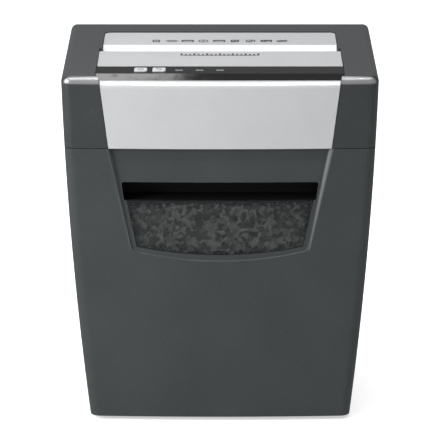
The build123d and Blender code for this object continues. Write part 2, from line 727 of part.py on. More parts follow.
with BuildPart() as chassis_screws:
    for side in (-1, 1):
        with BuildSketch(Plane.YZ.offset(side * PLATE_X)):
            with Locations(*TIE_ROD_YZ):
                Circle(SCREW_R)
        extrude(amount=side * PLATE_T)
        with BuildSketch(Plane.YZ.offset(side * (PLATE_X + PLATE_T))):
            with Locations(*TIE_ROD_YZ):
                RegularPolygon(SCREW_HEAD_R, 6)
        extrude(amount=side * SCREW_HEAD_H)
    with BuildSketch(Plane.XY.offset(SEAM_Z)):
        with Locations(*CHASSIS_SCREW_XY):
            Circle(SCREW_R)
    extrude(amount=BASE_TOP_Z + FOOT_T - SEAM_Z)
    with BuildSketch(Plane.XY.offset(BASE_TOP_Z + FOOT_T)):
        with Locations(*CHASSIS_SCREW_XY):
            RegularPolygon(SCREW_HEAD_R, 6)
    extrude(amount=SCREW_HEAD_H)
    # four more, from below, hold the top cover down on the base plate
    with BuildSketch(Plane.XY.offset(SEAM_Z)):
        with Locations(*HEAD_SCREW_XY):
            Circle(SCREW_R)
    extrude(amount=BASE_TOP_Z + HEAD_SCREW_L - SEAM_Z)
    with BuildSketch(Plane.XY.offset(SEAM_Z)):
        with Locations(*HEAD_SCREW_XY):
            RegularPolygon(SCREW_HEAD_R, 6)
    extrude(amount=-SCREW_HEAD_H)
save(chassis_screws, "chassis_screws")

# ---------------------------------------------------------------------------
# Gears: involute teeth, 25 degree pressure angle, shortened tips
# ---------------------------------------------------------------------------

PRESSURE = radians(25)
ADDENDUM, DEDENDUM = 0.85, 1.2


def involute(angle):
    return sin(angle) / cos(angle) - angle


def tooth_outline(teeth, module):
    """One tooth along +X: half thicknesses from the involute at four radii, and its mirror."""
    pitch_r = module * teeth / 2
    base_r = pitch_r * cos(PRESSURE)
    root_r = pitch_r - DEDENDUM * module
    tip_r = pitch_r + ADDENDUM * module
    foot_r = root_r - 0.3 * module
    low = max(root_r, base_r)
    radii = [low + share * (tip_r - low) for share in (0, 0.33, 0.67, 1.0)]
    upper = []
    for radius in radii:
        at_radius = sqrt(max(0.0, 1 - (base_r / radius) ** 2))
        pressure = atan2(at_radius, base_r / radius)
        half = pi / (2 * teeth) + involute(PRESSURE) - involute(pressure)
        half -= BACKLASH * module / 2 / pitch_r
        upper.append((radius * cos(half), radius * sin(half)))
    first_x, first_y = upper[0]
    upper = [(foot_r, first_y * foot_r / first_x)] + upper
    return upper + [(x, -y) for x, y in reversed(upper)]


def gear_face(teeth, module, phase, bore_r):
    """A gear's whole outline, with one tooth's middle at the angle phase."""
    with BuildSketch() as face:
        Circle(module * teeth / 2 - DEDENDUM * module)
        with PolarLocations(0, teeth, start_angle=phase):
            Polygon(*tooth_outline(teeth, module), align=None)
        Circle(bore_r, mode=Mode.SUBTRACT)
    return face.sketch


def gear(axis, spans):
    """A gear, or a compound one, from (start x, width, teeth, module, phase, bore)."""
    with BuildPart() as wheel:
        for start_x, width, teeth, module, phase, bore_r in spans:
            with BuildSketch(Plane.YZ.offset(start_x)):
                with Locations(axis):
                    add(gear_face(teeth, module, phase, bore_r))
            extrude(amount=width)
    return wheel


front_sync_gear = gear(FRONT_AXIS, [(-134, 10, SYNC_TEETH, SYNC_MODULE, 0, JOURNAL_R)])
save(front_sync_gear, "front_sync_gear")
rear_sync_gear = gear(
    REAR_AXIS,
    [(-134, 10, SYNC_TEETH, SYNC_MODULE, 180 + 180 / SYNC_TEETH, JOURNAL_R)],
)
save(rear_sync_gear, "rear_sync_gear")
roller_gear = gear(
    FRONT_AXIS, [(122, 9, ROLLER_TEETH, SECOND_MODULE, SECOND_ANGLE, JOURNAL_R)]
)
save(roller_gear, "roller_gear")
second_reduction_gear = gear(
    SECOND_AXIS,
    [
        (
            121.0,
            10.8,
            SECOND_PINION_TEETH,
            SECOND_MODULE,
            SECOND_ANGLE + 180 + 180 / SECOND_PINION_TEETH,
            PIN_R + RUNNING,
        ),
        (131.8, 6.2, SECOND_TEETH, FIRST_MODULE, FIRST_ANGLE, PIN_R + RUNNING),
    ],
)
save(second_reduction_gear, "second_reduction_gear")
first_reduction_gear = gear(
    FIRST_AXIS,
    [
        (
            130.8,
            8.4,
            FIRST_PINION_TEETH,
            FIRST_MODULE,
            FIRST_ANGLE + 180 + 180 / FIRST_PINION_TEETH,
            PIN_R + RUNNING,
        ),
        (139.2, 6.0, FIRST_TEETH, MOTOR_MODULE, MOTOR_ANGLE, PIN_R + RUNNING),
    ],
)
save(first_reduction_gear, "first_reduction_gear")
motor_pinion = gear(
    MOTOR_AXIS,
    [(138.6, 7.2, MOTOR_TEETH, MOTOR_MODULE, MOTOR_ANGLE + 180 + 180 / MOTOR_TEETH, MOTOR_SHAFT_R)],
)
save(motor_pinion, "motor_pinion")

with BuildPart() as idler_pins:
    with BuildSketch(Plane.YZ.offset(PLATE_X)):
        with Locations(SECOND_AXIS, FIRST_AXIS):
            Circle(PIN_R)
    extrude(amount=GEARBOX_X + GEARBOX_T - PLATE_X)
save(idler_pins, "idler_pins")

SPACER_YZ = [(-100.0, 344.0), (-103.0, 392.0), (-30.0, 341.2), (-22.0, 392.0)]

with BuildPart() as gearbox_plate:
    with BuildSketch(Plane.YZ.offset(GEARBOX_X)):
        with BuildLine():
            Polyline(
                (-107, 338), (-24, 337), (-24, 360), (-15, 380), (-15, 398), (-109, 398),
                close=True,
            )
        make_face()
        fillet(vertices(), 5)
        with Locations(SECOND_AXIS, FIRST_AXIS):
            Circle(PIN_R, mode=Mode.SUBTRACT)
        with Locations(*SPACER_YZ):
            Circle(SCREW_R, mode=Mode.SUBTRACT)
    extrude(amount=GEARBOX_T)
save(gearbox_plate, "gearbox_plate")

with BuildPart() as gearbox_spacers:
    with BuildSketch(Plane.YZ.offset(PLATE_X + PLATE_T)):
        with Locations(*SPACER_YZ):
            Circle(TIE_ROD_R)
    extrude(amount=GEARBOX_X - PLATE_X - PLATE_T)
    with BuildSketch(Plane.YZ.offset(GEARBOX_X)):
        with Locations(*SPACER_YZ):
            Circle(SCREW_R)
    extrude(amount=GEARBOX_T)
save(gearbox_spacers, "gearbox_spacers")

# ---------------------------------------------------------------------------
# Motor
# ---------------------------------------------------------------------------

CAN_START_X = 44.0
CAN_INNER_R = 21.6
END_CAP_X = 34.0
ARMATURE_X = (58.0, 100.0)
ARMATURE_R = 16.6
ARMATURE_SLOTS = 10
WINDING_X = (52.6, 105.4)


def ring(axis, start_x, end_x, outer_r, inner_r):
    """A plain ring or sleeve along X."""
    with BuildPart() as sleeve:
        with BuildSketch(Plane.YZ.offset(start_x)):
            with Locations(axis):
                Circle(outer_r)
                Circle(inner_r, mode=Mode.SUBTRACT)
        extrude(amount=end_x - start_x)
    return sleeve.part


with BuildPart() as motor_can:
    add(ring(MOTOR_AXIS, CAN_START_X, PLATE_X, MOTOR_R, CAN_INNER_R))
    add(ring(MOTOR_AXIS, PLATE_X - 3, PLATE_X, MOTOR_R - 0.5, MOTOR_SHAFT_R + RUNNING))
save(motor_can, "motor_can")

with BuildPart() as motor_end_cap:
    add(ring(MOTOR_AXIS, END_CAP_X, CAN_START_X, MOTOR_R, CAN_INNER_R - 1))
    add(ring(MOTOR_AXIS, END_CAP_X, END_CAP_X + 2.5, MOTOR_R - 0.5, MOTOR_SHAFT_R + RUNNING))
    with BuildSketch(Plane.YZ.offset(END_CAP_X)):
        with Locations(MOTOR_AXIS):
            with PolarLocations(14.5, 6):
                SlotOverall(9, 4, rotation=90)
    extrude(amount=2.5, mode=Mode.SUBTRACT)
save(motor_end_cap, "motor_end_cap")

with BuildPart() as motor_magnets:
    add(ring(MOTOR_AXIS, 52, 108, CAN_INNER_R, ARMATURE_R + 0.8))
    with BuildSketch(Plane.YZ.offset(52)):
        with Locations(MOTOR_AXIS):
            Rectangle(60, 11)
    extrude(amount=56, mode=Mode.SUBTRACT)
save(motor_magnets, "motor_magnets")


def armature_slots():
    """Sketch of the radial slots that hold the windings."""
    with BuildSketch() as slots:
        with PolarLocations(ARMATURE_R - 4, ARMATURE_SLOTS):
            Rectangle(8, 2.6)
    return slots.sketch


with BuildPart() as motor_armature:
    add(ring(MOTOR_AXIS, ARMATURE_X[0], ARMATURE_X[1], ARMATURE_R, MOTOR_SHAFT_R))
    with BuildSketch(Plane.YZ.offset(ARMATURE_X[0])):
        with Locations(MOTOR_AXIS):
            add(armature_slots())
    extrude(amount=ARMATURE_X[1] - ARMATURE_X[0], mode=Mode.SUBTRACT)
save(motor_armature, "motor_armature")

with BuildPart() as motor_windings:
    with BuildSketch(Plane.YZ.offset(ARMATURE_X[0])):
        with Locations(MOTOR_AXIS):
            add(armature_slots())
            Circle(ARMATURE_R - 0.4)
            Circle(ARMATURE_R - 0.4, mode=Mode.SUBTRACT)
            add(armature_slots())
    extrude(amount=ARMATURE_X[1] - ARMATURE_X[0])
    add(ring(MOTOR_AXIS, WINDING_X[0], ARMATURE_X[0], ARMATURE_R - 1.5, MOTOR_SHAFT_R))
    add(ring(MOTOR_AXIS, ARMATURE_X[1], WINDING_X[1], ARMATURE_R - 1.5, MOTOR_SHAFT_R))
    with BuildSketch(Plane.YZ.offset(WINDING_X[0])):
        with Locations(MOTOR_AXIS):
            Circle(ARMATURE_R + 5)
            Circle(ARMATURE_R - 0.2, mode=Mode.SUBTRACT)
    extrude(amount=WINDING_X[1] - WINDING_X[0], mode=Mode.SUBTRACT)
save(motor_windings, "motor_windings")

with BuildPart() as motor_commutator:
    add(ring(MOTOR_AXIS, 45.5, WINDING_X[0], 7.5, MOTOR_SHAFT_R))
save(motor_commutator, "motor_commutator")

with BuildPart() as brush_holders:
    with BuildSketch(Plane.YZ.offset(46)):
        with Locations(MOTOR_AXIS):
            with PolarLocations(14.6, 2, start_angle=90):
                Rectangle(13.4, 7)
    extrude(amount=5)
save(brush_holders, "brush_holders")

with BuildPart() as motor_shaft:
    with BuildSketch(Plane.YZ.offset(22)):
        with Locations(MOTOR_AXIS):
            Circle(MOTOR_SHAFT_R)
    extrude(amount=125)
save(motor_shaft, "motor_shaft")

with BuildPart() as motor_fan:
    add(ring(MOTOR_AXIS, 23, 32.5, 6, MOTOR_SHAFT_R))
    with BuildSketch(Plane.YZ.offset(25)):
        with Locations(MOTOR_AXIS):
            with PolarLocations(13, 9):
                Rectangle(15, 1.6, rotation=18)
    extrude(amount=7)
    add(ring(MOTOR_AXIS, 31.5, 32.5, 20, MOTOR_SHAFT_R))
save(motor_fan, "motor_fan")

with BuildPart() as motor_clamp:
    with BuildSketch(Plane.YZ.offset(72)):
        with Locations(MOTOR_AXIS):
            Circle(MOTOR_R + 2)
        with Locations((MOTOR_AXIS[0], (BASE_TOP_Z + MOTOR_AXIS[1]) / 2)):
            Rectangle(2 * MOTOR_R - 4, MOTOR_AXIS[1] - BASE_TOP_Z)
        with Locations((MOTOR_AXIS[0], BASE_TOP_Z + 1.5)):
            Rectangle(2 * MOTOR_R + 2, 3)
        with Locations(MOTOR_AXIS):
            Circle(MOTOR_R, mode=Mode.SUBTRACT)
    extrude(amount=12)
save(motor_clamp, "motor_clamp")

# ---------------------------------------------------------------------------
# Mains side: board, switch, cord gland and the drawer's safety switch
# ---------------------------------------------------------------------------

with BuildPart() as power_board:
    with BuildSketch(Plane.XY.offset(POWER_BOARD_Z)):
        with Locations(POWER_BOARD_MID):
            Rectangle(*POWER_BOARD_SIZE)
    extrude(amount=BOARD_T)
save(power_board, "power_board")

with BuildPart() as relay:
    with BuildSketch(Plane.XY.offset(POWER_BOARD_Z + BOARD_T)):
        with Locations((POWER_BOARD_MID[0] - 24, POWER_BOARD_MID[1])):
            Rectangle(19, 15)
    extrude(amount=15)
    fillet(relay.edges().filter_by(Axis.Z), 1)
save(relay, "relay")

with BuildPart() as capacitor:
    with BuildSketch(Plane.XY.offset(POWER_BOARD_Z + BOARD_T)):
        with Locations((POWER_BOARD_MID[0] + 4, POWER_BOARD_MID[1])):
            Circle(8)
    extrude(amount=26)
    fillet(capacitor.edges().group_by(Axis.Z)[-1], 1.2)
save(capacitor, "capacitor")

with BuildPart() as terminal_block:
    with BuildSketch(Plane.XY.offset(POWER_BOARD_Z + BOARD_T)):
        with Locations((POWER_BOARD_MID[0] + 30, POWER_BOARD_MID[1])):
            Rectangle(10, 28)
    extrude(amount=11)
    with BuildSketch(Plane.XY.offset(POWER_BOARD_Z + BOARD_T + 11)):
        with Locations((POWER_BOARD_MID[0] + 30, POWER_BOARD_MID[1])):
            with GridLocations(0, 6.5, 1, 4):
                Circle(2.2)
    extrude(amount=-4, mode=Mode.SUBTRACT)
save(terminal_block, "terminal_block")

BACK_TILT = degrees(atan2(BACK_LEAN, top_z(BACK_TOP_Y)))


def back_y(z):
    """Depth of the back face at height z."""
    return BACK_TOP_Y - BACK_LEAN * (top_z(BACK_TOP_Y) - z) / top_z(BACK_TOP_Y)


def back_plane(x, z):
    """A plane on the back face, facing out of it, with its own X along +X."""
    return Plane(
        origin=(x, back_y(z), z),
        x_dir=(1, 0, 0),
        z_dir=(0, cos(radians(BACK_TILT)), -sin(radians(BACK_TILT))),
    )


SWITCH_PLANE = back_plane(SWITCH_X, SWITCH_Z)
SWITCH_BODY = (19.0, 27.0, 20.0)
ROCKER_R = 11.0
ROCKER_HALF_X = 7.0
ROCKER_REST_TILT = 10.0
ROCKER_PIVOT = (back_y(SWITCH_Z) - 2.5, SWITCH_Z)

with BuildPart() as mains_switch:
    with BuildSketch(SWITCH_PLANE):
        RectangleRounded(22.5, 30.5, 1.5)
    extrude(amount=1.6)
    with BuildSketch(SWITCH_PLANE):
        Rectangle(SWITCH_BODY[0], SWITCH_BODY[1])
    extrude(amount=-SWITCH_BODY[2])
    with BuildSketch(Plane.YZ.offset(SWITCH_X - ROCKER_HALF_X - 0.4)):
        with Locations(ROCKER_PIVOT):
            Circle(ROCKER_R + 0.4)
        with Locations((ROCKER_PIVOT[0] + 10, ROCKER_PIVOT[1])):
            Rectangle(20, 2 * ROCKER_R + 0.8)
    extrude(amount=2 * ROCKER_HALF_X + 0.8, mode=Mode.SUBTRACT)
save(mains_switch, "mains_switch")

with BuildPart() as mains_rocker:
    with BuildSketch(Plane.YZ.offset(SWITCH_X - ROCKER_HALF_X)):
        with Locations(Location((ROCKER_PIVOT[0], ROCKER_PIVOT[1]), ROCKER_REST_TILT)):
            Circle(ROCKER_R)
            Polygon(
                (-4, -12), (6.2, -12), (4.2, 0), (6.2, 12), (-4, 12),
                align=None,
                mode=Mode.INTERSECT,
            )
    extrude(amount=2 * ROCKER_HALF_X)
save(mains_rocker, "mains_rocker")

GLAND_PLANE = back_plane(GLAND_X, GLAND_Z)
with BuildPart() as cord_gland:
    with BuildSketch(GLAND_PLANE):
        Circle(GLAND_R + 3)
    extrude(amount=2.5)
    fillet(cord_gland.edges().group_by(Axis.Y)[-1], 1.2)
    with BuildSketch(GLAND_PLANE):
        Circle(GLAND_R - 0.1)
    extrude(amount=-9)
    with BuildSketch(GLAND_PLANE.offset(-4.2)):
        RegularPolygon(GLAND_R + 3.5, 6)
    extrude(amount=-4)
    with BuildSketch(GLAND_PLANE.offset(4)):
        Circle(3.6)
    extrude(amount=-16, mode=Mode.SUBTRACT)
save(cord_gland, "cord_gland")

INTERLOCK_X, INTERLOCK_Z = -120.0, 313.0
PLUNGER_R = 2.0
PLUNGER_TIP_Y = TUB_BACK_Y + 0.3

with BuildPart() as interlock_switch:
    with BuildSketch(Plane.XY.offset(INTERLOCK_Z - 5)):
        with Locations((INTERLOCK_X, TUB_BACK_Y + 10)):
            RectangleRounded(22, 10, 1)
    extrude(amount=SEAM_Z - INTERLOCK_Z + 5)
    with BuildSketch(Plane.XZ.offset(-(TUB_BACK_Y + 5))):
        with Locations((INTERLOCK_X, INTERLOCK_Z)):
            Circle(PLUNGER_R + RUNNING)
    extrude(amount=-8, mode=Mode.SUBTRACT)
save(interlock_switch, "interlock_switch")

with BuildPart() as interlock_plunger:
    with BuildSketch(Plane.XZ.offset(-PLUNGER_TIP_Y)):
        with Locations((INTERLOCK_X, INTERLOCK_Z)):
            Circle(PLUNGER_R)
    extrude(amount=-12)
    fillet(interlock_plunger.edges().group_by(Axis.Y)[0], 0.8)
save(interlock_plunger, "interlock_plunger")

# ---------------------------------------------------------------------------
# Cabinet
# ---------------------------------------------------------------------------

FOOT_XY = [(x, y) for x in (-124.0, 124.0) for y in (-82.0, 98.0)]

with BuildPart() as cabinet_shell:
    add(OUTER)
    add(slab(FLOOR_GAP, SEAM_Z, DRAWER_Y, FAR / 2), mode=Mode.INTERSECT)
    with BuildPart(mode=Mode.PRIVATE) as cabinet_room:
        add(body_form(CABINET_WALL, round_top=False))
        add(slab(FLOOR_GAP + CABINET_FLOOR_T, FORM_TOP), mode=Mode.INTERSECT)
    add(cabinet_room.part, mode=Mode.SUBTRACT)
save(cabinet_shell, "cabinet_shell")

with BuildPart() as rubber_feet:
    with BuildSketch(Plane.XY):
        with Locations(*FOOT_XY):
            Circle(11)
    extrude(amount=FLOOR_GAP)
    chamfer(rubber_feet.edges().group_by(Axis.Z)[0], 0.8)
save(rubber_feet, "rubber_feet")

with BuildPart() as bin_runners:
    with BuildSketch(Plane.XY.offset(FLOOR_GAP + CABINET_FLOOR_T)):
        with GridLocations(200, 0, 2, 1):
            Rectangle(8, 190)
    extrude(amount=2.0)
save(bin_runners, "bin_runners")

# ---------------------------------------------------------------------------
# Drawer
# ---------------------------------------------------------------------------

DRAWER_BACK_Y = DRAWER_Y - GAP
BOSS_XZ = [(x * side, z) for side in (-1, 1) for x, z in ((128.0, 42.0), (141.0, 309.0))]
BOSS_R = 5.5


def shield(inset=0.0, low_z=0.0, high_z=FORM_TOP, at_y=0.0):
    """The recess's outline on an upright plane, pulled in by inset, between two heights."""
    slope = (RECESS_HALF_TOP - RECESS_HALF_BOTTOM) / (SEAM_Z - RECESS_CORNER_Z)
    above = 20.0
    with BuildSketch(Plane.XZ.offset(-at_y)) as outline:
        with BuildLine():
            sill = ThreePointArc(
                (-RECESS_HALF_BOTTOM, RECESS_CORNER_Z),
                (0, RECESS_LOW_Z),
                (RECESS_HALF_BOTTOM, RECESS_CORNER_Z),
            )
            Polyline(
                sill @ 1,
                (RECESS_HALF_TOP + slope * above, SEAM_Z + above),
                (-RECESS_HALF_TOP - slope * above, SEAM_Z + above),
                sill @ 0,
            )
        make_face()
        fillet(outline.vertices().group_by(Axis.Y)[0], 9)
        if inset:
            offset(amount=-inset, mode=Mode.REPLACE)
        with Locations((0, (low_z + high_z) / 2)):
            Rectangle(FAR, high_z - low_z, mode=Mode.INTERSECT)
    return outline.sketch


def recess_floor(depth):
    """Everything behind the recess's sloping floor, set back by a further depth."""
    margin = 12.0
    rate = (RECESS_DEPTH_TOP - RECESS_DEPTH_BOTTOM) / (SEAM_Z - RECESS_LOW_Z)
    return bowed_block(
        RECESS_DEPTH_BOTTOM - margin * rate + depth,
        RECESS_DEPTH_TOP + margin * rate + depth,
        RECESS_LOW_Z - margin,
        SEAM_Z + margin,
    )


def behind_front(outline, near, far):
    """An outline carried through, kept between two depths behind the recess's floor."""
    with BuildPart() as piece:
        extrude(outline, amount=160)
        add(recess_floor(near), mode=Mode.INTERSECT)
        add(recess_floor(far), mode=Mode.SUBTRACT)
    return piece.part


def recess_cut():
    """The recess's hollow: its walls slope in to the floor, and it is open to the front."""
    wide = 5.0      # the outline is this much too wide at the foremost depth of the front
    depth = 11.0
    with BuildPart() as hollow:
        extrude(shield(-wide, at_y=FRONT_TOP_Y), amount=-depth, taper=RECESS_SLOPE)
        add(recess_floor(0), mode=Mode.SUBTRACT)
    return hollow.part


def handle_slot():
    """The finger slot's outline, a little wider at its top."""
    with BuildSketch(Plane.XZ) as outline:
        low, high = HANDLE_Z
        with BuildLine():
            Polyline(
                (-HANDLE_HALF[0], low),
                (HANDLE_HALF[0], low),
                (HANDLE_HALF[1], high),
                (-HANDLE_HALF[1], high),
                close=True,
            )
        make_face()
        fillet(outline.vertices(), 2.5)
    return outline.sketch


WINDOW_TOP_Z = HANDLE_Z[0] - 0.2

with BuildPart() as bin_front:
    add(OUTER)
    add(slab(DRAWER_BOTTOM_Z, DRAWER_TOP_Z, -FAR / 2, DRAWER_BACK_Y), mode=Mode.INTERSECT)
    with BuildPart(mode=Mode.PRIVATE) as drawer_room:
        add(body_form(DRAWER_SKIN, round_top=False))
        add(
            slab(DRAWER_BOTTOM_Z + DRAWER_SKIN, DRAWER_TOP_Z - DRAWER_SKIN, -FAR / 2, 0),
            mode=Mode.INTERSECT,
        )
        # the recess is cut from a patch that stands behind the skin
        add(behind_front(shield(-3.0), -10, DRAWER_SKIN), mode=Mode.SUBTRACT)
        for boss_x, boss_z in BOSS_XZ:
            with BuildSketch(Plane.XZ):
                with Locations((boss_x, boss_z)):
                    Circle(BOSS_R)
            extrude(amount=FAR / 2, mode=Mode.SUBTRACT)
    add(drawer_room.part, mode=Mode.SUBTRACT)
    add(recess_cut(), mode=Mode.SUBTRACT)
    extrude(handle_slot(), amount=160, mode=Mode.SUBTRACT)
    extrude(shield(WINDOW_MARGIN, high_z=HANDLE_Z[0]), amount=160, mode=Mode.SUBTRACT)
    with BuildSketch(Plane.XZ.offset(-DRAWER_BACK_Y)):
        with Locations(*BOSS_XZ):
            Circle(SCREW_R)
    extrude(amount=8, mode=Mode.SUBTRACT)
save(bin_front, "bin_front")

WINDOW_BACK = DRAWER_SKIN + 0.1     # depth where the window's flange starts
WINDOW_FLANGE_T = 1.4
WINDOW_FLANGE = 4.0                 # how far the flange reaches past the opening

with BuildPart() as bin_window:
    pane = shield(WINDOW_MARGIN + 0.3, high_z=WINDOW_TOP_Z)
    add(behind_front(pane, 0.5, WINDOW_BACK))
    flange = shield(WINDOW_MARGIN - WINDOW_FLANGE, high_z=HANDLE_Z[0] - 3.2)
    add(behind_front(flange, WINDOW_BACK, WINDOW_BACK + WINDOW_FLANGE_T))
save(bin_window, "bin_window")

POCKET_HALF = 116.5
POCKET_WALL = 2.0
POCKET_Z = (HANDLE_Z[0] - 2.4, HANDLE_Z[1] + 2.4)

with BuildPart() as handle_pocket:
    add(slab(POCKET_Z[0], POCKET_Z[1], -FAR / 3, POCKET_BACK_Y, POCKET_HALF))
    add(recess_floor(DRAWER_SKIN + 0.1), mode=Mode.INTERSECT)
    add(
        slab(
            POCKET_Z[0] + POCKET_WALL,
            POCKET_Z[1] - POCKET_WALL,
            -FAR / 3,
            POCKET_BACK_Y - POCKET_WALL,
            POCKET_HALF - POCKET_WALL,
        ),
        mode=Mode.SUBTRACT,
    )
save(handle_pocket, "handle_pocket")

TUB_INSET = 8.0
TUB_WINDOW = (117.5, 203.0, 297.0)

with BuildPart() as bin_tub:
    add(body_form(TUB_INSET, round_top=False))
    add(slab(TUB_BOTTOM_Z, TUB_TOP_Z, DRAWER_BACK_Y, TUB_BACK_Y), mode=Mode.INTERSECT)
    with BuildPart(mode=Mode.PRIVATE) as tub_room:
        add(body_form(TUB_INSET + TUB_WALL, round_top=False))
        add(
            slab(
                TUB_BOTTOM_Z + TUB_WALL, FORM_TOP, DRAWER_BACK_Y + TUB_WALL, TUB_BACK_Y - TUB_WALL
            ),
            mode=Mode.INTERSECT,
        )
    add(tub_room.part, mode=Mode.SUBTRACT)
    add(
        slab(TUB_WINDOW[1], TUB_WINDOW[2], -FAR / 3, DRAWER_BACK_Y + 10, TUB_WINDOW[0]),
        mode=Mode.SUBTRACT,
    )
    with BuildSketch(Plane.XZ.offset(-DRAWER_BACK_Y)):
        with Locations(*BOSS_XZ):
            Circle(SCREW_R)
    extrude(amount=-10, mode=Mode.SUBTRACT)
save(bin_tub, "bin_tub")

with BuildPart() as bin_screws:
    with BuildSketch(Plane.XZ.offset(-(DRAWER_BACK_Y + TUB_WALL))):
        with Locations(*BOSS_XZ):
            Circle(SCREW_R)
    extrude(amount=TUB_WALL + 7.5)
    with BuildSketch(Plane.XZ.offset(-(DRAWER_BACK_Y + TUB_WALL))):
        with Locations(*BOSS_XZ):
            Circle(SCREW_HEAD_R)
    extrude(amount=-SCREW_HEAD_H)
save(bin_screws, "bin_screws")
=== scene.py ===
"""Paper shredder: the finishes of its parts, the printed marks, the waste in its drawer, and the studio."""

import json
import math

import bpy
import numpy as np
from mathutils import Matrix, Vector


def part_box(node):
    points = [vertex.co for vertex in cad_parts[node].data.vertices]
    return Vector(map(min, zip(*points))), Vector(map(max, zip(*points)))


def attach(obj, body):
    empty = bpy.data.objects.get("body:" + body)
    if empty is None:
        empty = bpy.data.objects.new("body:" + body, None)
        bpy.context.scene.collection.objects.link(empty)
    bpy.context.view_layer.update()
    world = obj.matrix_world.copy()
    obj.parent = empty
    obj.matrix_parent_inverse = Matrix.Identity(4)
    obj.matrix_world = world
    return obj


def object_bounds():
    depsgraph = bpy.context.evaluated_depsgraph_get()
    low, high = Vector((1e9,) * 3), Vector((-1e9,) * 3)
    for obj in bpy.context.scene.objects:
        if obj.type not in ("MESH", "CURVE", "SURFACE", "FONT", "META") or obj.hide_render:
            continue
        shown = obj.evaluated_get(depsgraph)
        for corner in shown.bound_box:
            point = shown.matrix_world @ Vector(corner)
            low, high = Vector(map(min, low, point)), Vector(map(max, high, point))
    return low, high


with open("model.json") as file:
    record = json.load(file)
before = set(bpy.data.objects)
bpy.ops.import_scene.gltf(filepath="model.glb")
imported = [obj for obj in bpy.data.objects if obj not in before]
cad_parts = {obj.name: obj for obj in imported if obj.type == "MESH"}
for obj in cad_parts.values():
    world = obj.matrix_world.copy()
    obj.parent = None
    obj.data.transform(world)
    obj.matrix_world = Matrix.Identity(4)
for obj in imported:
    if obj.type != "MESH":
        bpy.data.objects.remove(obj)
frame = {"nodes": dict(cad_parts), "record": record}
CAD_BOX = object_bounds()

MM = 0.001
TOP_SLOPE = 7 / 262             # rise of the top face towards the back
STRIP_SLOPE = 0.0882            # the control strip's rear part falls towards the front
STRIP_TILT = math.atan(STRIP_SLOPE)
NOISE_ROUGHNESS = 0.55          # how strong each finer layer of a noise is
DUST = (0.5, 0.5, 0.48)


# ---------------------------------------------------------------------------
# Shader arithmetic
# ---------------------------------------------------------------------------


class Value:
    """A number that varies over a surface: arithmetic on it adds Math nodes."""

    def __init__(self, finish, socket):
        self.finish = finish
        self.socket = socket

    def combine(self, operation, first, second, clamp=False):
        settings = {"operation": operation, "use_clamp": clamp}
        return self.finish.node("ShaderNodeMath", settings, {0: first, 1: second})

    def __add__(self, other):
        return self.combine("ADD", self, other)

    __radd__ = __add__

    def __sub__(self, other):
        return self.combine("SUBTRACT", self, other)

    def __rsub__(self, other):
        return self.combine("SUBTRACT", other, self)

    def __mul__(self, other):
        return self.combine("MULTIPLY", self, other)

    def __truediv__(self, other):
        return self.combine("DIVIDE", self, other)

    def __abs__(self):
        return self.combine("ABSOLUTE", self, 0.0)

    def clamped(self):
        """The same number kept between 0 and 1."""
        return self.combine("ADD", self, 0.0, clamp=True)


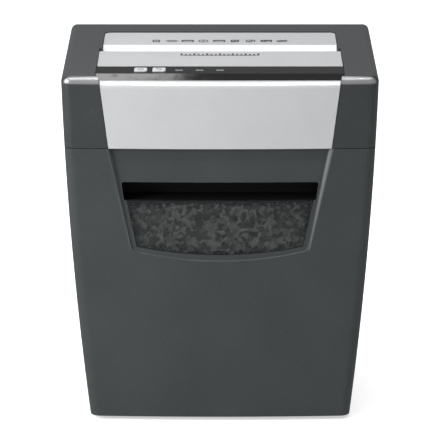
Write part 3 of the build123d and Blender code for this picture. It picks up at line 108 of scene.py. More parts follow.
class Finish:
    """One material: a Principled surface, and the nodes that vary it over the piece."""

    def __init__(self, name, colour, roughness, **constants):
        self.material = bpy.data.materials.new(name)
        self.material.use_nodes = True
        self.tree = self.material.node_tree
        self.tree.nodes.clear()
        output = self.tree.nodes.new("ShaderNodeOutputMaterial")
        self.surface = self.tree.nodes.new("ShaderNodeBsdfPrincipled")
        self.tree.links.new(self.surface.outputs[0], output.inputs["Surface"])
        self.feed("Base Color", (*colour, 1.0))
        self.feed("Roughness", roughness)
        for socket, constant in constants.items():
            self.feed(socket.replace("_", " "), constant)
        self.place = self.node("ShaderNodeTexCoord", output="Object")

    def node(self, kind, settings=None, inputs=None, output=0):
        """Adds a node: its settings first, then each socket's value or link."""
        made = self.tree.nodes.new(kind)
        for key, setting in (settings or {}).items():
            setattr(made, key, setting)
        for key, given in (inputs or {}).items():
            if isinstance(given, Value):
                self.tree.links.new(given.socket, made.inputs[key])
            else:
                made.inputs[key].default_value = given
        return Value(self, made.outputs[output])

    def feed(self, socket, given):
        """Gives the surface a constant, or a number that varies."""
        target = self.surface.inputs[socket]
        if isinstance(given, Value):
            self.tree.links.new(given.socket, target)
        else:
            target.default_value = given

    def noise(self, grain, detail=3.0, stretch=(1, 1, 1)):
        """Soft random pattern with features about grain millimetres across."""
        place = self.node(
            "ShaderNodeMapping", {}, {"Vector": self.place, "Scale": stretch}
        )
        return self.node(
            "ShaderNodeTexNoise",
            {},
            {
                "Vector": place,
                "Scale": 1 / (grain * MM),
                "Detail": detail,
                "Roughness": NOISE_ROUGHNESS,
            },
        )

    def cells(self, grain):
        """Distance from scattered points about grain millimetres apart."""
        return self.node(
            "ShaderNodeTexVoronoi",
            {},
            {"Vector": self.place, "Scale": 1 / (grain * MM)},
        )

    def axis(self, letter):
        """One coordinate of the place on the piece, in metres."""
        return self.node("ShaderNodeSeparateXYZ", {}, {"Vector": self.place}, output=letter)

    def cell_tone(self, grain):
        """One random tone for each of the cells about grain millimetres across."""
        return self.node(
            "ShaderNodeTexVoronoi",
            {},
            {"Vector": self.place, "Scale": 1 / (grain * MM)},
            output="Color",
        )

    def ramp(self, value, low, high, start=0.0, end=1.0):
        """Maps low..high of a value onto start..end, held at both ends."""
        return self.node(
            "ShaderNodeMapRange",
            {"clamp": True, "interpolation_type": "SMOOTHSTEP"},
            {"Value": value, "From Min": low, "From Max": high, "To Min": start, "To Max": end},
        )

    def mix(self, factor, first, second):
        """Blends two colours, each a triple or a link."""
        def four(colour):
            return colour if isinstance(colour, Value) else (*colour, 1.0)

        return self.node(
            "ShaderNodeMix",
            {"data_type": "RGBA"},
            {"Factor": factor, 6: four(first), 7: four(second)},
            output=2,
        )

    def height(self, value, distance):
        """Relief: value raises the surface by up to distance millimetres."""
        bump = self.node(
            "ShaderNodeBump",
            {},
            {"Height": value, "Distance": distance * MM, "Strength": 1.0},
        )
        self.feed("Normal", bump)


def shade(colour, amount):
    """A colour made lighter or darker by a factor."""
    return tuple(min(1.0, channel * amount) for channel in colour)


# ---------------------------------------------------------------------------
# Finishes, one function for each of the record's material slots
# ---------------------------------------------------------------------------


# painted highlight: a lighter tone, less roughness and some metal on masked edges
HIGHLIGHT_TONE = (0.31, 0.315, 0.32)
HIGHLIGHT_GLOSS = 0.04             # how much smoother the painted-highlight edge is
HIGHLIGHT_SHEEN = 0.6              # and how metallic it is there, which brightens the painted highlight


def moulded(name, colour, roughness, grain, relief, mottle=0.06, painted_highlight=None, **constants):
    """Injection-moulded plastic: spark-eroded grain, a little uneven gloss and faint handling marks; the
    optional mask function marks a painted highlight, where the colour is lighter, the surface smoother and
    partly metallic."""
    finish = Finish(name, colour, roughness, **constants)
    grain_cells = finish.cells(grain)
    fine = finish.noise(grain * 0.6, detail=2.0)
    flow = finish.noise(70.0, detail=2.0)
    dust = finish.ramp(finish.noise(2.4, detail=4.0), 0.58, 0.8)
    tone = finish.ramp(flow * 0.7 + fine * 0.3, 0.3, 0.7)
    body = finish.mix(tone, shade(colour, 1 - mottle), shade(colour, 1 + mottle))
    gloss = roughness + (flow - 0.5) * 0.12 + dust * 0.06
    # painted highlight: lighter base colour, lower roughness and some metal where the mask is
    if painted_highlight:
        mask = (painted_highlight(finish) * (fine * 0.5 + 0.75)).clamped()
        body = finish.mix(mask, body, HIGHLIGHT_TONE)
        gloss = gloss - mask * HIGHLIGHT_GLOSS
        finish.feed("Metallic", mask * HIGHLIGHT_SHEEN)
    finish.feed("Base Color", finish.mix(dust * 0.05, body, DUST))
    finish.feed("Roughness", gloss.clamped())
    finish.height(grain_cells * 0.7 + fine * 0.3, relief)
    return finish.material


FRONT_EDGE_Y = CAD_BOX[0][1] + 9 * MM   # the front's rounded top edge is before this
FRONT_EDGE_Z = CAD_BOX[1][2] - 15 * MM  # and above this


def front_edge(finish):
    """Mask of the painted highlight: 1 on the rounded edge where the front meets the top, 0 elsewhere."""
    height, depth = finish.axis("Z"), finish.axis("Y")
    high = finish.ramp(height, FRONT_EDGE_Z - 1 * MM, FRONT_EDGE_Z + 2 * MM)
    near = finish.ramp(depth, FRONT_EDGE_Y - 2 * MM, FRONT_EDGE_Y + 1 * MM, 1.0, 0.0)
    return high * near


def dark_casing():
    # the rounded front-top edge carries a painted highlight
    return moulded(
        "dark_casing", (0.030, 0.034, 0.0355), 0.38, 0.75, 0.09,
        painted_highlight=front_edge, Specular_IOR_Level=0.4,
    )


WALL_LOW = (103.8 * MM, 215 * MM)   # half width and height of the recess's side walls, low down
WALL_HIGH = (127.6 * MM, 334 * MM)  # and at their top
WALL_DEPTH = -110 * MM              # they are before this
WALL_HIGHLIGHT = (0.06, 0.35)          # how much painted highlight the left and the right wall get


def recess_wall(finish):
    """Mask of the painted highlight on the recess's sloping side walls: up to a third there, mostly on the
    right one, which faces the light; 0 elsewhere.
    """
    height = finish.axis("Z")
    share = (height - WALL_LOW[1]) / (WALL_HIGH[1] - WALL_LOW[1])
    middle = share * (WALL_HIGH[0] - WALL_LOW[0]) + WALL_LOW[0]
    width = share.clamped() * (1.7 * MM) + 0.8 * MM
    beside = finish.ramp(abs(abs(finish.axis("X")) - middle) / width, 0.7, 1.2, 1.0, 0.0)
    above = finish.ramp(height, WALL_LOW[1] - 6 * MM, WALL_LOW[1])
    near = finish.ramp(finish.axis("Y"), WALL_DEPTH - 1 * MM, WALL_DEPTH, 1.0, 0.0)
    # the right wall, facing the key light, gets more painted highlight
    most = finish.ramp(finish.axis("X"), -1 * MM, 1 * MM, *WALL_HIGHLIGHT)
    return beside * above * near * most


def dark_drawer():
    # painted highlight on the recess's side walls
    return moulded(
        "dark_drawer", (0.034, 0.040, 0.0415), 0.44, 0.75, 0.08,
        painted_highlight=recess_wall, Specular_IOR_Level=0.35,
    )


def black_plastic():
    return moulded("black_plastic", (0.006, 0.006, 0.0065), 0.55, 0.9, 0.06, Specular_IOR_Level=0.3)


def grey_tub():
    return moulded("grey_tub", (0.035, 0.037, 0.039), 0.5, 1.2, 0.08)


def rubber_foot():
    return moulded("rubber_foot", (0.012, 0.012, 0.012), 0.78, 0.6, 0.1)


def button_white():
    return moulded("button_white", (0.50, 0.51, 0.52), 0.3, 0.5, 0.01, 0.02)


def gear_nylon():
    return moulded("gear_nylon", (0.60, 0.57, 0.49), 0.4, 1.0, 0.02, Subsurface_Weight=0.08)


def silver_panel():
    """Silver lacquer on plastic: fine metal flakes under a thin clear coat, with rubbed streaks."""
    finish = Finish(
        "silver_panel", (0.6, 0.61, 0.62), 0.34, Metallic=0.45, Coat_Weight=0.25, Coat_Roughness=0.22
    )
    flakes = finish.cells(0.35)
    cloud = finish.noise(55.0, detail=2.0)
    rub = finish.noise(3.0, detail=3.0, stretch=(0.08, 1.0, 1.0))
    glint = finish.ramp(flakes, 0.1, 0.75)
    base = finish.mix(glint, (0.66, 0.67, 0.68), (0.56, 0.57, 0.58))
    base_worn = finish.mix(finish.ramp(cloud, 0.35, 0.7) * 0.2, base, (0.50, 0.51, 0.52))
    finish.feed("Base Color", base_worn)
    finish.feed("Roughness", (0.3 + rub * 0.1 + glint * 0.05).clamped())
    finish.height(flakes, 0.012)
    return finish.material


def gloss_black():
    """Polished black panel with a breath of dust and faint finger marks."""
    black = (0.004, 0.004, 0.005)
    finish = Finish("gloss_black", black, 0.12, Specular_IOR_Level=0.3)
    marks = finish.ramp(finish.noise(9.0, detail=3.0), 0.5, 0.75)
    specks = finish.ramp(finish.cells(3.5), 0.0, 0.09, 1.0, 0.0)
    finish.feed("Base Color", finish.mix(specks * 0.2, black, (0.2, 0.2, 0.19)))
    finish.feed("Roughness", (0.1 + marks * 0.1 + specks * 0.3).clamped())
    finish.height(finish.noise(30.0), 0.02)
    return finish.material


def smoked_window():
    """Smoked clear plastic, a little scuffed on the outside."""
    smoke = (0.020, 0.023, 0.024)
    finish = Finish("smoked_window", smoke, 0.16, IOR=1.46)
    cloud = finish.noise(28.0, detail=3.0)
    scuffs = finish.ramp(finish.noise(1.6, detail=4.0, stretch=(0.15, 1, 1)), 0.62, 0.8)
    finish.feed("Alpha", (0.42 + cloud * 0.08 + scuffs * 0.06).clamped())
    finish.feed("Roughness", (0.08 + cloud * 0.06 + scuffs * 0.25).clamped())
    finish.feed("Base Color", finish.mix(scuffs * 0.3, smoke, (0.12, 0.13, 0.13)))
    finish.height(cloud, 0.03)
    return finish.material


def metal(name, colour, roughness, brushed, relief=0.01, stain=(0.25, 0.2, 0.14), stained=0.12):
    """Bare or plated metal, brushed along one direction, with a few stains."""
    finish = Finish(name, colour, roughness, Metallic=1.0)
    lines = finish.noise(0.5, detail=3.0, stretch=brushed)
    cloud = finish.noise(18.0, detail=4.0)
    spots = finish.ramp(cloud, 0.52, 0.75)
    tone = finish.mix(lines, shade(colour, 0.84), shade(colour, 1.12))
    finish.feed("Base Color", finish.mix(spots * stained, tone, stain))
    finish.feed("Roughness", (roughness + (lines - 0.5) * 0.2 + spots * 0.1).clamped())
    finish.height(lines, relief)
    return finish.material


def cutter_steel():
    return metal("cutter_steel", (0.40, 0.40, 0.41), 0.3, (4, 0.3, 0.3), 0.015, (0.12, 0.09, 0.06), 0.3)


def zinc_steel():
    return metal("zinc_steel", (0.56, 0.57, 0.57), 0.36, (0.2, 1, 1), 0.008, (0.45, 0.46, 0.42), 0.5)


def gear_steel():
    return metal("gear_steel", (0.26, 0.26, 0.27), 0.44, (1, 1, 1), 0.02)


def brass():
    return metal("brass", (0.72, 0.52, 0.22), 0.3, (3, 0.4, 0.4))


def copper_wire():
    return metal("copper_wire", (0.62, 0.27, 0.12), 0.34, (0.15, 1.5, 1.5), 0.12)


def laminations():
    return metal("laminations", (0.20, 0.20, 0.21), 0.5, (3.5, 0.1, 0.1), 0.05)


def board_green():
    """Solder mask over copper tracks: raised lines in two directions and small tinned pads."""
    finish = Finish("board_green", (0.018, 0.12, 0.055), 0.35, Coat_Weight=0.4)
    tracks = finish.ramp(finish.noise(7.0, detail=0.0, stretch=(1, 0.25, 1)), 0.48, 0.52)
    pads = finish.ramp(finish.cells(5.5), 0.12, 0.16, 1.0, 0.0)
    mask = finish.mix(tracks, (0.012, 0.085, 0.040), (0.025, 0.15, 0.07))
    finish.feed("Base Color", finish.mix(pads, mask, (0.65, 0.64, 0.6)))
    finish.feed("Metallic", pads)
    finish.feed("Roughness", (0.4 - pads * 0.1 + tracks * 0.05).clamped())
    finish.height(tracks + pads, 0.04)
    return finish.material


def lens_clear():
    """Frosted indicator lens, unlit."""
    finish = Finish("lens_clear", (0.16, 0.165, 0.17), 0.28, Coat_Weight=0.5)
    frost = finish.noise(0.8)
    finish.feed("Base Color", finish.mix(frost, (0.13, 0.135, 0.14), (0.2, 0.205, 0.21)))
    finish.feed("Roughness", (0.22 + frost * 0.15).clamped())
    return finish.material


def tan_film():
    return moulded("tan_film", (0.42, 0.17, 0.04), 0.25, 2.0, 0.02)


FINISHES = {
    make.__name__: make()
    for make in (
        dark_casing, dark_drawer, black_plastic, grey_tub, rubber_foot, button_white, gear_nylon,
        silver_panel, gloss_black, smoked_window, cutter_steel, zinc_steel, gear_steel, brass,
        copper_wire, laminations, board_green, lens_clear, tan_film,
    )
}


def paper(name, bright, dim):
    """Shredded office paper: fibrous scraps between two tones, with scattered print."""
    finish = Finish(name, bright, 0.85)
    fibre = finish.noise(0.9, detail=4.0)
    scraps = finish.ramp(finish.cell_tone(5.5), 0.2, 0.8)
    ink = finish.ramp(finish.noise(1.1, detail=1.0), 0.54, 0.6)
    printed = finish.ramp(finish.noise(9.0, detail=1.0), 0.5, 0.6)
    tone = finish.mix(scraps, bright, dim)
    inked = finish.mix((ink * printed) * 0.8, tone, (0.05, 0.05, 0.06))
    finish.feed("Base Color", finish.mix(fibre * 0.2, inked, shade(dim, 0.9)))
    finish.feed("Roughness", (0.8 + fibre * 0.12).clamped())
    finish.height(fibre, 0.05)
    return finish.material


def print_ink(name, colour, roughness=0.5):
    """Screen-printed ink with slightly uneven cover."""
    finish = Finish(name, colour, roughness)
    cover = finish.noise(0.7, detail=3.0)
    finish.feed("Base Color", finish.mix(cover, shade(colour, 0.8), shade(colour, 1.2)))
    finish.feed("Roughness", (roughness - 0.1 + cover * 0.2).clamped())
    return finish.material


# ---------------------------------------------------------------------------
# Meshes from numpy arrays
# ---------------------------------------------------------------------------


def piece(name, points, faces, material, body, slot, smooth=True):
    """A mesh object from an array of points and an array of quads or triangles, riding on a body."""
    mesh = bpy.data.meshes.new(name)
    faces = np.asarray(faces, dtype=np.int32)
    mesh.vertices.add(len(points))
    mesh.vertices.foreach_set("co", np.asarray(points, dtype=np.float32).ravel())
    mesh.loops.add(faces.size)
    mesh.loops.foreach_set("vertex_index", faces.ravel())
    mesh.polygons.add(len(faces))
    mesh.polygons.foreach_set(
        "loop_start", np.arange(0, faces.size, faces.shape[1], dtype=np.int32)
    )
    mesh.polygons.foreach_set("use_smooth", np.full(len(faces), smooth))
    mesh.update(calc_edges=True)
    mesh.validate()
    mesh.materials.append(material)
    made = bpy.data.objects.new(name, mesh)
    bpy.context.scene.collection.objects.link(made)
    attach(made, body)


def joined(parts):
    """Several (points, faces) pairs as one."""
    offsets = np.cumsum([0] + [len(points) for points, _ in parts[:-1]])
    points = np.concatenate([points for points, _ in parts])
    faces = np.concatenate([faces + offset for (_, faces), offset in zip(parts, offsets)])
    return points, faces


def on_plane(origin, tilt, flat, lift):
    """Flat points (x, along) laid on a plane that rises at tilt, and lifted along its normal."""
    x, along = flat[:, 0], flat[:, 1]
    y = origin[1] + along * math.cos(tilt) - lift * math.sin(tilt)
    z = origin[2] + along * math.sin(tilt) + lift * math.cos(tilt)
    return np.stack([origin[0] + x, y, z], axis=1)


def band(outer, inner, origin, tilt, low, high):
    """A flat closed band between two outlines of the same count, from lift low to lift high."""
    count = len(outer)
    rows = [
        on_plane(origin, tilt, outline, lift)
        for outline, lift in ((outer, low), (outer, high), (inner, high), (inner, low))
    ]
    points = np.concatenate(rows)
    step = np.arange(count)
    ahead = (step + 1) % count
    faces = []
    for row in range(4):
        here, after = row * count, ((row + 1) % 4) * count
        faces.append(np.stack([here + step, here + ahead, after + ahead, after + step], axis=1))
    return points, np.concatenate(faces)


def rounded_outline(width, height, radius, count=48):
    """A rounded rectangle: a superellipse whose exponent grows as the radius shrinks."""
    angle = np.linspace(0, 2 * np.pi, count, endpoint=False)
    power = np.clip(2 * radius / min(width, height), 0.1, 1.0)
    x = np.sign(np.cos(angle)) * np.abs(np.cos(angle)) ** power * width / 2
    y = np.sign(np.sin(angle)) * np.abs(np.sin(angle)) ** power * height / 2
    return np.stack([x, y], axis=1)


# ---------------------------------------------------------------------------
# CAD nodes take their slots' finishes
# ---------------------------------------------------------------------------

for part in frame["record"]["subparts"]:
    node_mesh = frame["nodes"][part["node"]].data
    node_mesh.materials.clear()
    node_mesh.materials.append(FINISHES[part["material_slot"]])


# ---------------------------------------------------------------------------
# Printed marks on the decks, the strip and the keys
# ---------------------------------------------------------------------------

DECK_INK = print_ink("deck_ink", (0.02, 0.021, 0.023), 0.6)
INK_T = 0.12 * MM
STRIP_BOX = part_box("control_strip")
REAR_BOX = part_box("rear_deck")
FRONT_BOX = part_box("front_deck")


def deck_point(x, y):
    """A point on the decks' common top surface, whose rear edge is its highest line."""
    return (x, y, REAR_BOX[1][2] + (y - REAR_BOX[1][1]) * TOP_SLOPE)


def filled(outline):
    """An outline shrunk almost to its middle: the inner edge of a mark with no hole."""
    return outline.mean(axis=0) + (outline - outline.mean(axis=0)) * 0.02


def mark(outline, hole, origin, tilt):
    """One printed mark, as a thin closed band."""
    return band(outline, hole, origin, tilt, -INK_T / 2, INK_T)


def bar(width, height, turn=0.0, at=(0.0, 0.0)):
    """A small bar's outline, turned and moved."""
    outline = rounded_outline(width, height, min(width, height) / 5, 24)
    c, s = math.cos(turn), math.sin(turn)
    return outline @ np.array([[c, s], [-s, c]]) + np.array(at)


def arc_band(radius, width, start, end, count=32):
    """A closed outline that runs out along an arc and back along a smaller one."""
    angle = np.linspace(start, end, count)
    out = np.stack([np.cos(angle), np.sin(angle)], axis=1)
    return np.concatenate([out * (radius + width / 2), out[::-1] * (radius - width / 2)])


FRAME_W = 3.6 * MM              # both sides of a pictogram's frame together


def sheet_mark(width, height):
    """Pictogram of a sheet: a frame with two ruled lines in it."""
    outer = bar(width, height)
    inner = outer * np.array([1 - FRAME_W / width, 1 - FRAME_W / height])
    lines = [bar(width * 0.5, 1.1 * MM, at=(0, height * shift)) for shift in (-0.15, 0.15)]
    return [(outer, inner)] + [(line, filled(line)) for line in lines]


def card_mark(width, height):
    """Pictogram of a card: a frame with a solid stripe."""
    outer = bar(width, height)
    inner = outer * np.array([1 - FRAME_W / width, 1 - FRAME_W / height])
    stripe = bar(width * 0.8, height * 0.2, at=(0, height * 0.16))
    return [(outer, inner), (stripe, filled(stripe))]


def disc_mark(diameter):
    """Pictogram of a disc: two rings."""
    turn = np.linspace(0, 2 * np.pi, 40, endpoint=False)
    circle = np.stack([np.cos(turn), np.sin(turn)], axis=1) * diameter / 2
    return [(circle, circle * 0.76), (circle * 0.36, circle * 0.14)]


def clip_mark(width, height):
    """Pictogram of a paper clip: one slim loop inside another."""
    loops = [rounded_outline(width, height, height / 2.2, 32)]
    loops.append(rounded_outline(width * 0.72, height * 0.5, height / 4.4, 32))
    return [(loop, loop * np.array([0.88, 0.66])) for loop in loops]


def struck(strokes, size):
    """The same pictogram with a slanting stroke through it."""
    stroke = bar(size * 1.35, 1.6 * MM, turn=0.8)
    return strokes + [(stroke, filled(stroke))]


def print_marks(name, rows, ink, slot, body, tilt):
    """Joins pictograms, each a list of (outline, hole) with its origin, into one printed piece."""
    parts = [
        mark(outline, hole, origin, tilt) for strokes, origin in rows for outline, hole in strokes
    ]
    piece(name, *joined(parts), ink, body, slot, smooth=False)


TOP_TILT = math.atan(TOP_SLOPE)
REAR_ROW_Y = REAR_BOX[1][1] - 41 * MM
REAR_MARKS = [
    sheet_mark(9 * MM, 11 * MM),
    clip_mark(15 * MM, 7 * MM),
    card_mark(15 * MM, 10 * MM),
    disc_mark(12 * MM),
    card_mark(15 * MM, 10 * MM),
    struck(sheet_mark(10 * MM, 11 * MM), 11 * MM),
    struck(disc_mark(12 * MM), 11 * MM),
    struck(card_mark(14 * MM, 10 * MM), 11 * MM),
    struck(clip_mark(14 * MM, 7 * MM), 11 * MM),
]
REAR_SPAN = (-76 * MM, 74 * MM)
rear_places = np.linspace(*REAR_SPAN, len(REAR_MARKS))
print_marks(
    "entry_pictograms",
    [
        (strokes, deck_point(x, REAR_ROW_Y))
        for strokes, x in zip(REAR_MARKS, rear_places)
    ],
    DECK_INK, "silver_panel", "machine", TOP_TILT,
)

# paper centring scale on the front deck: ticks along a rule
FRONT_ROW_Y = FRONT_BOX[0][1] + 50 * MM
TICK_STEP = 5 * MM
TICKS = 18
TICK_W, TICK_SHORT, TICK_LONG = 2.4 * MM, 5.5 * MM, 8.5 * MM
RULE_W = 2.0 * MM


def centring_scale():
    """A rule with a tick every five millimetres, every third one longer, about the entry's middle."""
    strokes = []
    for index in range(-TICKS // 2, TICKS // 2 + 1):
        length = TICK_LONG if index % 3 == 0 else TICK_SHORT
        tick = bar(TICK_W, length, at=(index * TICK_STEP, length / 2))
        strokes.append((tick, filled(tick)))
    rule = bar((TICKS + 0.3) * TICK_STEP, RULE_W)
    return strokes + [(rule, filled(rule))]


print_marks(
    "centring_scale",
    [(centring_scale(), deck_point(0.0, FRONT_ROW_Y))],
    DECK_INK, "silver_panel", "machine", TOP_TILT,
)

# keys: a standby ring on one, a reverse arrow on the other
KEY_BACK = 13.6 * MM            # from the strip's rear edge to the keys' middle
KEY_PROUD = 1.4 * MM


def key_origin(node):
    """Middle of a key's top face, on a strip whose rear edge is its highest line."""
    low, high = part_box(node)
    rear_y, rear_z = STRIP_BOX[1][1], STRIP_BOX[1][2]
    y = rear_y - KEY_BACK - KEY_PROUD * math.sin(STRIP_TILT)
    z = rear_z - KEY_BACK * math.tan(STRIP_TILT) + KEY_PROUD * math.cos(STRIP_TILT)
    return ((low[0] + high[0]) / 2, y, z)


def standby_mark():
    """An open ring with a bar through its gap."""
    ring = arc_band(2.9 * MM, 0.8 * MM, math.radians(125), math.radians(415))
    ring_core = arc_band(2.9 * MM, 0.05 * MM, math.radians(126), math.radians(414))
    stem = bar(0.8 * MM, 3.4 * MM, at=(0, 2.4 * MM))
    return [(ring, ring_core), (stem, filled(stem))]


def reverse_mark():
    """A bent arrow that points back."""
    ring = arc_band(2.7 * MM, 0.8 * MM, math.radians(-120), math.radians(130))
    ring_core = arc_band(2.7 * MM, 0.05 * MM, math.radians(-119), math.radians(129))
    head = np.array([[-1.2, 3.9], [-3.9, 2.2], [-1.0, 0.6]]) * MM
    head = np.concatenate([np.linspace(head[i], head[(i + 1) % 3], 8, endpoint=False) for i in range(3)])
    return [(ring, ring_core), (head, filled(head))]


KEY_INK = print_ink("key_ink", (0.03, 0.03, 0.032), 0.4)
for key_node, key_body, strokes in (
    ("power_button", "power_key", standby_mark()),
    ("reverse_button", "reverse_key", reverse_mark()),
):
    print_marks(
        key_node + "_mark", [(strokes, key_origin(key_node))], KEY_INK, "button_white", key_body, STRIP_TILT
    )


# ---------------------------------------------------------------------------
# Shredded paper in the drawer
# ---------------------------------------------------------------------------

TUB_LOW, TUB_HIGH = (np.array(corner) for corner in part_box("bin_tub"))
WINDOW_LOW, WINDOW_HIGH = (np.array(corner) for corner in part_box("bin_window"))
POCKET_LOW, POCKET_HIGH = (np.array(corner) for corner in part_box("handle_pocket"))
TUB_TAPER = 25 * MM             # the tub is this much narrower, on each side, at its floor
TUB_CLEAR = 9 * MM
WASTE_FLOOR = TUB_LOW[2] + 4 * MM
WASTE_TOP = POCKET_LOW[2] - 5 * MM
WINDOW_BOW = 2.2 * MM           # the window's middle stands forward of its sides by this
STRIP_W, STRIP_L, STRIP_T = 3.8 * MM, 26 * MM, 0.16 * MM
random = np.random.default_rng(7)


def ripple(x, y, scale, phase):
    """Smooth bumps: a sum of crossed sine waves of different lengths."""
    return (
        np.sin(x / scale + phase) * np.cos(y / scale * 1.3 - phase)
        + 0.5 * np.sin(x / scale * 2.3 - y / scale * 1.7 + 2 * phase)
    )


def tub_half(z):
    """Half width of the tub's inside at height z: it narrows slowly, then faster, towards the floor."""
    share = np.clip((TUB_HIGH[2] - z) / (TUB_HIGH[2] - TUB_LOW[2]), 0, 1)
    return TUB_HIGH[0] - TUB_CLEAR - TUB_TAPER * share ** 1.25


def window_back(x):
    """Depth of the window's inner face across its width: its bow is an arc."""
    return WINDOW_HIGH[1] - WINDOW_BOW * (1 - np.clip(np.abs(x) / WINDOW_HIGH[0], 0, 1) ** 2)


ROUNDING = 0.34                 # 1 would make the waste round in plan, 0 square
SHOULDER, FOOT = 0.42, 0.88     # the waste's surface turns down here, and in to its floor here
DOME = 18 * MM                  # the waste stands this much higher behind the handle pocket


def rounded_square(around):
    """Place at an angle on a unit square whose corners are well rounded."""
    turn = np.stack([np.cos(around), np.sin(around)])
    return np.sign(turn) * np.abs(turn) ** ROUNDING


def heap(around, down):
    """The waste's surface: a rounded rectangle in plan, level under the handle pocket and domed
    and lumpy behind it, that bulges forwards against the window; around is the angle in plan,
    down runs from its top middle over its shoulder to its floor middle."""
    side = np.clip((down - SHOULDER) / (FOOT - SHOULDER), 0, 1)
    to_floor = np.cos(np.clip((down - FOOT) / (1 - FOOT), 0, 1) * np.pi / 2)
    spread = np.where(down < SHOULDER, np.sin(down / SHOULDER * np.pi / 2), to_floor)
    level = WASTE_TOP - side * (WASTE_TOP - WASTE_FLOOR)
    front, back = TUB_LOW[1] + TUB_CLEAR, TUB_HIGH[1] - TUB_CLEAR
    x, y = rounded_square(around) * spread
    x = x * tub_half(level)
    y = (front + back) / 2 + y * (back - front) / 2
    top = np.clip((SHOULDER - down) / 0.16, 0, 1)
    behind = np.clip((y - POCKET_HIGH[1] - 6 * MM) / (40 * MM), 0, 1)
    z = level + top * behind * (DOME + 5 * MM * ripple(x, y, 16 * MM, 0.4))
    in_window = np.clip((WINDOW_HIGH[0] - 6 * MM - np.abs(x)) / (9 * MM), 0, 1)
    in_window = in_window * np.clip((z - WINDOW_LOW[2] + 1 * MM) / (8 * MM), 0, 1)
    at_front = np.clip((front + 12 * MM - y) / (12 * MM), 0, 1)
    bulge = front - window_back(x) - (2.4 + 0.7 * ripple(x, z, 9 * MM, 1.0)) * MM
    y = y - in_window * at_front * bulge
    return np.stack([x, y, z], axis=-1)


def grid_faces(rows, columns):
    """Quads of a grid that closes round its columns."""
    row, column = np.meshgrid(np.arange(rows - 1), np.arange(columns), indexing="ij")
    after = (column + 1) % columns
    here, below = row * columns, (row + 1) * columns
    faces = [here + column, below + column, below + after, here + after]
    return np.stack(faces, axis=-1).reshape(-1, 4)


def waste_core():
    """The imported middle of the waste, closed by small rings at its two poles."""
    rows, columns = 90, 220
    around = np.linspace(0, 2 * np.pi, columns, endpoint=False)
    down = np.linspace(0.004, 0.998, rows)
    points = heap(*np.meshgrid(around, down)).reshape(-1, 3)
    poles = np.array([points[:columns].mean(axis=0), points[-columns:].mean(axis=0)])
    faces = grid_faces(rows, columns)
    step = np.arange(columns)
    ahead = (step + 1) % columns
    top, bottom = len(points), len(points) + 1
    last = (rows - 1) * columns
    triangles = np.concatenate([
        np.stack([np.full(columns, top), step, ahead], axis=1),
        np.stack([np.full(columns, bottom), ahead + last, step + last], axis=1),
    ])
    quads = np.concatenate([faces[:, [0, 1, 2]], faces[:, [0, 2, 3]]])
    return np.concatenate([points, poles]), np.concatenate([quads, triangles])


def unit(vectors):
    return vectors / np.linalg.norm(vectors, axis=-1, keepdims=True)


POCKET_MARGIN = 0.8 * MM
WALL_T = 3 * MM                 # the tub's wall, cut away only behind the window
WINDOW_EDGE = 4 * MM


def kept_inside(points):
    """True for each strip that stays behind the window and out of the handle pocket."""
    low, high = POCKET_LOW - POCKET_MARGIN, POCKET_HIGH + POCKET_MARGIN
    in_pocket = np.all((points > low) & (points < high), axis=-1)
    across, depth = np.abs(points[..., 0]), points[..., 1]
    outside = depth < window_back(across) + 0.1 * MM
    past_wall = (depth < TUB_LOW[1] + WALL_T) & (across > WINDOW_HIGH[0] - WINDOW_EDGE)
    return ~np.any(in_pocket | outside | past_wall, axis=(1, 2))


def ribbons(centres, normals, curl):
    """Curled paper strips: each a flat closed ribbon bent to an arc and twisted a little,
    lying on its normal, made for all strips at once; strips that would stick out are left out."""
    count = len(centres)
    stations = 7
    heading = unit(np.cross(normals, random.normal(size=(count, 3))))
    across = np.cross(normals, heading)
    tilt = random.normal(0, 0.35, (count, 1))
    normals = unit(normals + tilt * across)
    across = np.cross(normals, heading)
    run = np.linspace(-0.5, 0.5, stations)
    length = STRIP_L * random.uniform(0.45, 1.0, (count, 1))
    bend = curl[:, None] * run
    along = length * np.sinc(bend / np.pi) * run
    lift = length * curl[:, None] * run**2 * 0.5
    twist = random.normal(0, 0.5, (count, 1)) * run
    middle = (
        centres[:, None]
        + along[..., None] * heading[:, None]
        + lift[..., None] * normals[:, None]
    )
    side = np.cos(twist)[..., None] * across[:, None] + np.sin(twist)[..., None] * normals[:, None]
    up = np.cos(twist)[..., None] * normals[:, None] - np.sin(twist)[..., None] * across[:, None]
    corners = [(1, 1), (-1, 1), (-1, -1), (1, -1)]
    ring = np.stack(
        [middle + side * (STRIP_W / 2 * a) + up * (STRIP_T / 2 * b) for a, b in corners], axis=2
    )
    ring = ring[kept_inside(ring)]
    station, corner = np.meshgrid(np.arange(stations - 1), np.arange(4), indexing="ij")
    after = (corner + 1) % 4
    walls = np.stack(
        [station * 4 + corner, station * 4 + after, station * 4 + 4 + after, station * 4 + 4 + corner],
        axis=-1,
    ).reshape(-1, 4)
    last = (stations - 1) * 4
    caps = np.array([[3, 2, 1, 0], [last, last + 1, last + 2, last + 3]])
    one = np.concatenate([walls, caps])
    faces = (one[None] + np.arange(len(ring))[:, None, None] * stations * 4).reshape(-1, 4)
    return ring.reshape(-1, 3), faces


def scatter(count, around_range, down_range, lift):
    """Random places on the heap, with outward normals from its two tangents; they fall evenly
    along its outline and, on its top, evenly from middle to rim."""
    turns = np.linspace(*around_range, 4000)
    steps = np.linalg.norm(np.diff(rounded_square(turns), axis=1), axis=0)
    run = np.concatenate([[0.0], np.cumsum(steps)])
    around = np.interp(random.uniform(0, run[-1], count), run, turns)
    down = random.uniform(*down_range, count)
    inner = np.clip(down / SHOULDER, 0, 1)
    even = SHOULDER * 2 / np.pi * np.arcsin(np.sqrt(inner))
    down = np.where(down < SHOULDER, even, down)
    step = 0.004
    here = heap(around, down)
    across = heap(around + step, down) - here
    below = heap(around, down + step) - here
    normal = unit(np.cross(below, across) + 1e-9)
    return here + normal * random.uniform(*lift, (count, 1)), normal


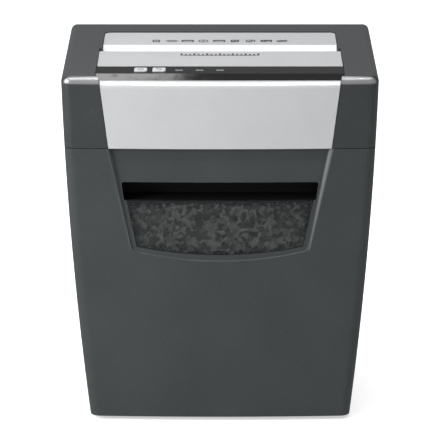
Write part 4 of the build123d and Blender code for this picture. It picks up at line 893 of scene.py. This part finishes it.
LOOSE_PAPER = paper("loose_paper", (0.58, 0.58, 0.565), (0.15, 0.15, 0.145))
# paper darkened as painted shade, for the waste's shaded middle behind the loose strips
PAINTED_SHADE_PAPER = paper("paper_in_painted_shade", (0.22, 0.22, 0.21), (0.05, 0.05, 0.05))
piece("waste_heap", *waste_core(), PAINTED_SHADE_PAPER, "drawer", "button_white")
FRONT_ARC = (np.pi * 1.02, np.pi * 1.98)
for name, count, around_range, down_range, lift in (
    ("waste_strips_top", 2200, (0, 2 * np.pi), (0.06, 0.42), (-1 * MM, 5 * MM)),
    ("waste_strips_front", 3400, FRONT_ARC, (0.42, 0.55), (-1.5 * MM, 1.5 * MM)),
):
    centres, normals = scatter(count, around_range, down_range, lift)
    curls = random.normal(0, 0.9, count)
    strips = ribbons(centres, normals, curls)
    piece(name, *strips, LOOSE_PAPER, "drawer", "button_white", smooth=False)


# ---------------------------------------------------------------------------
# Studio
# ---------------------------------------------------------------------------

VIEW_ELEVATION = math.radians(16.3)
VIEW_DISTANCE = 3.4
VIEW_LENS = 232
VIEW_TARGET = Vector((0, 0, 0.212))


def studio_camera():
    """A long lens, a little above level, that frames the whole machine."""
    camera = bpy.data.cameras.new("camera")
    camera.lens = VIEW_LENS
    camera.sensor_width = 36
    camera.clip_end = 20
    holder = bpy.data.objects.new("camera", camera)
    back = Vector((0, -math.cos(VIEW_ELEVATION), math.sin(VIEW_ELEVATION)))
    holder.location = VIEW_TARGET + back * VIEW_DISTANCE
    holder.rotation_euler = (-back).to_track_quat("-Z", "Y").to_euler()
    bpy.context.scene.collection.objects.link(holder)
    bpy.context.scene.camera = holder


FLOOR_GLOW = (0.5, 0.5, 0.5)    # the floor's own light, near the machine
BACK_GLOW = (0.85, 0.85, 0.85)  # and far behind it
SURROUND = 0.31


def softbox(name, place, target, size, power):
    """A rectangular area light at a place, facing a target."""
    light = bpy.data.lights.new(name, "AREA")
    light.shape = "RECTANGLE"
    light.size, light.size_y = size
    light.energy = power
    holder = bpy.data.objects.new(name, light)
    holder.location = place
    aim = Vector(target) - Vector(place)
    holder.rotation_euler = aim.to_track_quat("-Z", "Y").to_euler()
    bpy.context.scene.collection.objects.link(holder)


def studio_floor():
    """A wide pale floor that curves up into a backdrop: flat, then a quarter round, then upright."""
    radius, depth, width = 1.2, 3.2, 9.0
    turn = np.linspace(0, np.pi / 2, 24)
    profile_y = np.concatenate([[-depth * 2.5], depth + radius * np.sin(turn), [depth + radius]])
    profile_z = np.concatenate([[0.0], radius * (1 - np.cos(turn)), [radius + 4.0]])
    rows = len(profile_y)
    left = np.stack([np.full(rows, -width), profile_y, profile_z], axis=1)
    right = left * np.array([-1, 1, 1])
    step = np.arange(rows - 1)
    faces = np.stack([step, step + rows, step + rows + 1, step + 1], axis=1)
    mesh = bpy.data.meshes.new("studio_floor")
    mesh.from_pydata(np.concatenate([left, right]).tolist(), [], faces.tolist())
    mesh.polygons.foreach_set("use_smooth", np.full(len(faces), True))
    finish = Finish("studio_paper", (0.86, 0.86, 0.86), 0.9)
    tone = finish.noise(400.0, detail=1.0)
    finish.feed("Base Color", finish.mix(tone, (0.85, 0.85, 0.85), (0.88, 0.88, 0.88)))
    glow = finish.ramp(finish.axis("Y"), -0.3, 0.9)
    finish.feed("Emission Color", finish.mix(glow, FLOOR_GLOW, BACK_GLOW))
    finish.feed("Emission Strength", 1.0)
    mesh.materials.append(finish.material)
    floor = bpy.data.objects.new("studio_floor", mesh)
    bpy.context.scene.collection.objects.link(floor)
    floor.visible_glossy = False


def studio_world():
    """An even, soft, neutral surround."""
    world = bpy.data.worlds.new("surround")
    world.use_nodes = True
    world.node_tree.nodes["Background"].inputs["Color"].default_value = (1, 1, 1, 1)
    world.node_tree.nodes["Background"].inputs["Strength"].default_value = SURROUND
    bpy.context.scene.world = world


studio_camera()
studio_floor()
studio_world()
softbox("key", (-1.2, -0.72, 0.8), (0, 0, 0.22), (0.7, 0.7), 22)
softbox("overhead", (-0.1, 0.3, 1.9), (0, 0, 0.3), (1.6, 0.8), 9)
softbox("edge_strip", (0.0, -0.5, 1.5), (0, -0.12, 0.41), (1.4, 0.12), 9)
softbox("back_left", (-0.35, 0.72, 1.28), (0, -0.11, 0.41), (0.6, 0.12), 1.2)
softbox("fill", (1.9, -1.6, 0.9), (0, 0, 0.2), (1.2, 1.2), 1.0)
bpy.context.scene.view_settings.view_transform = "Standard"
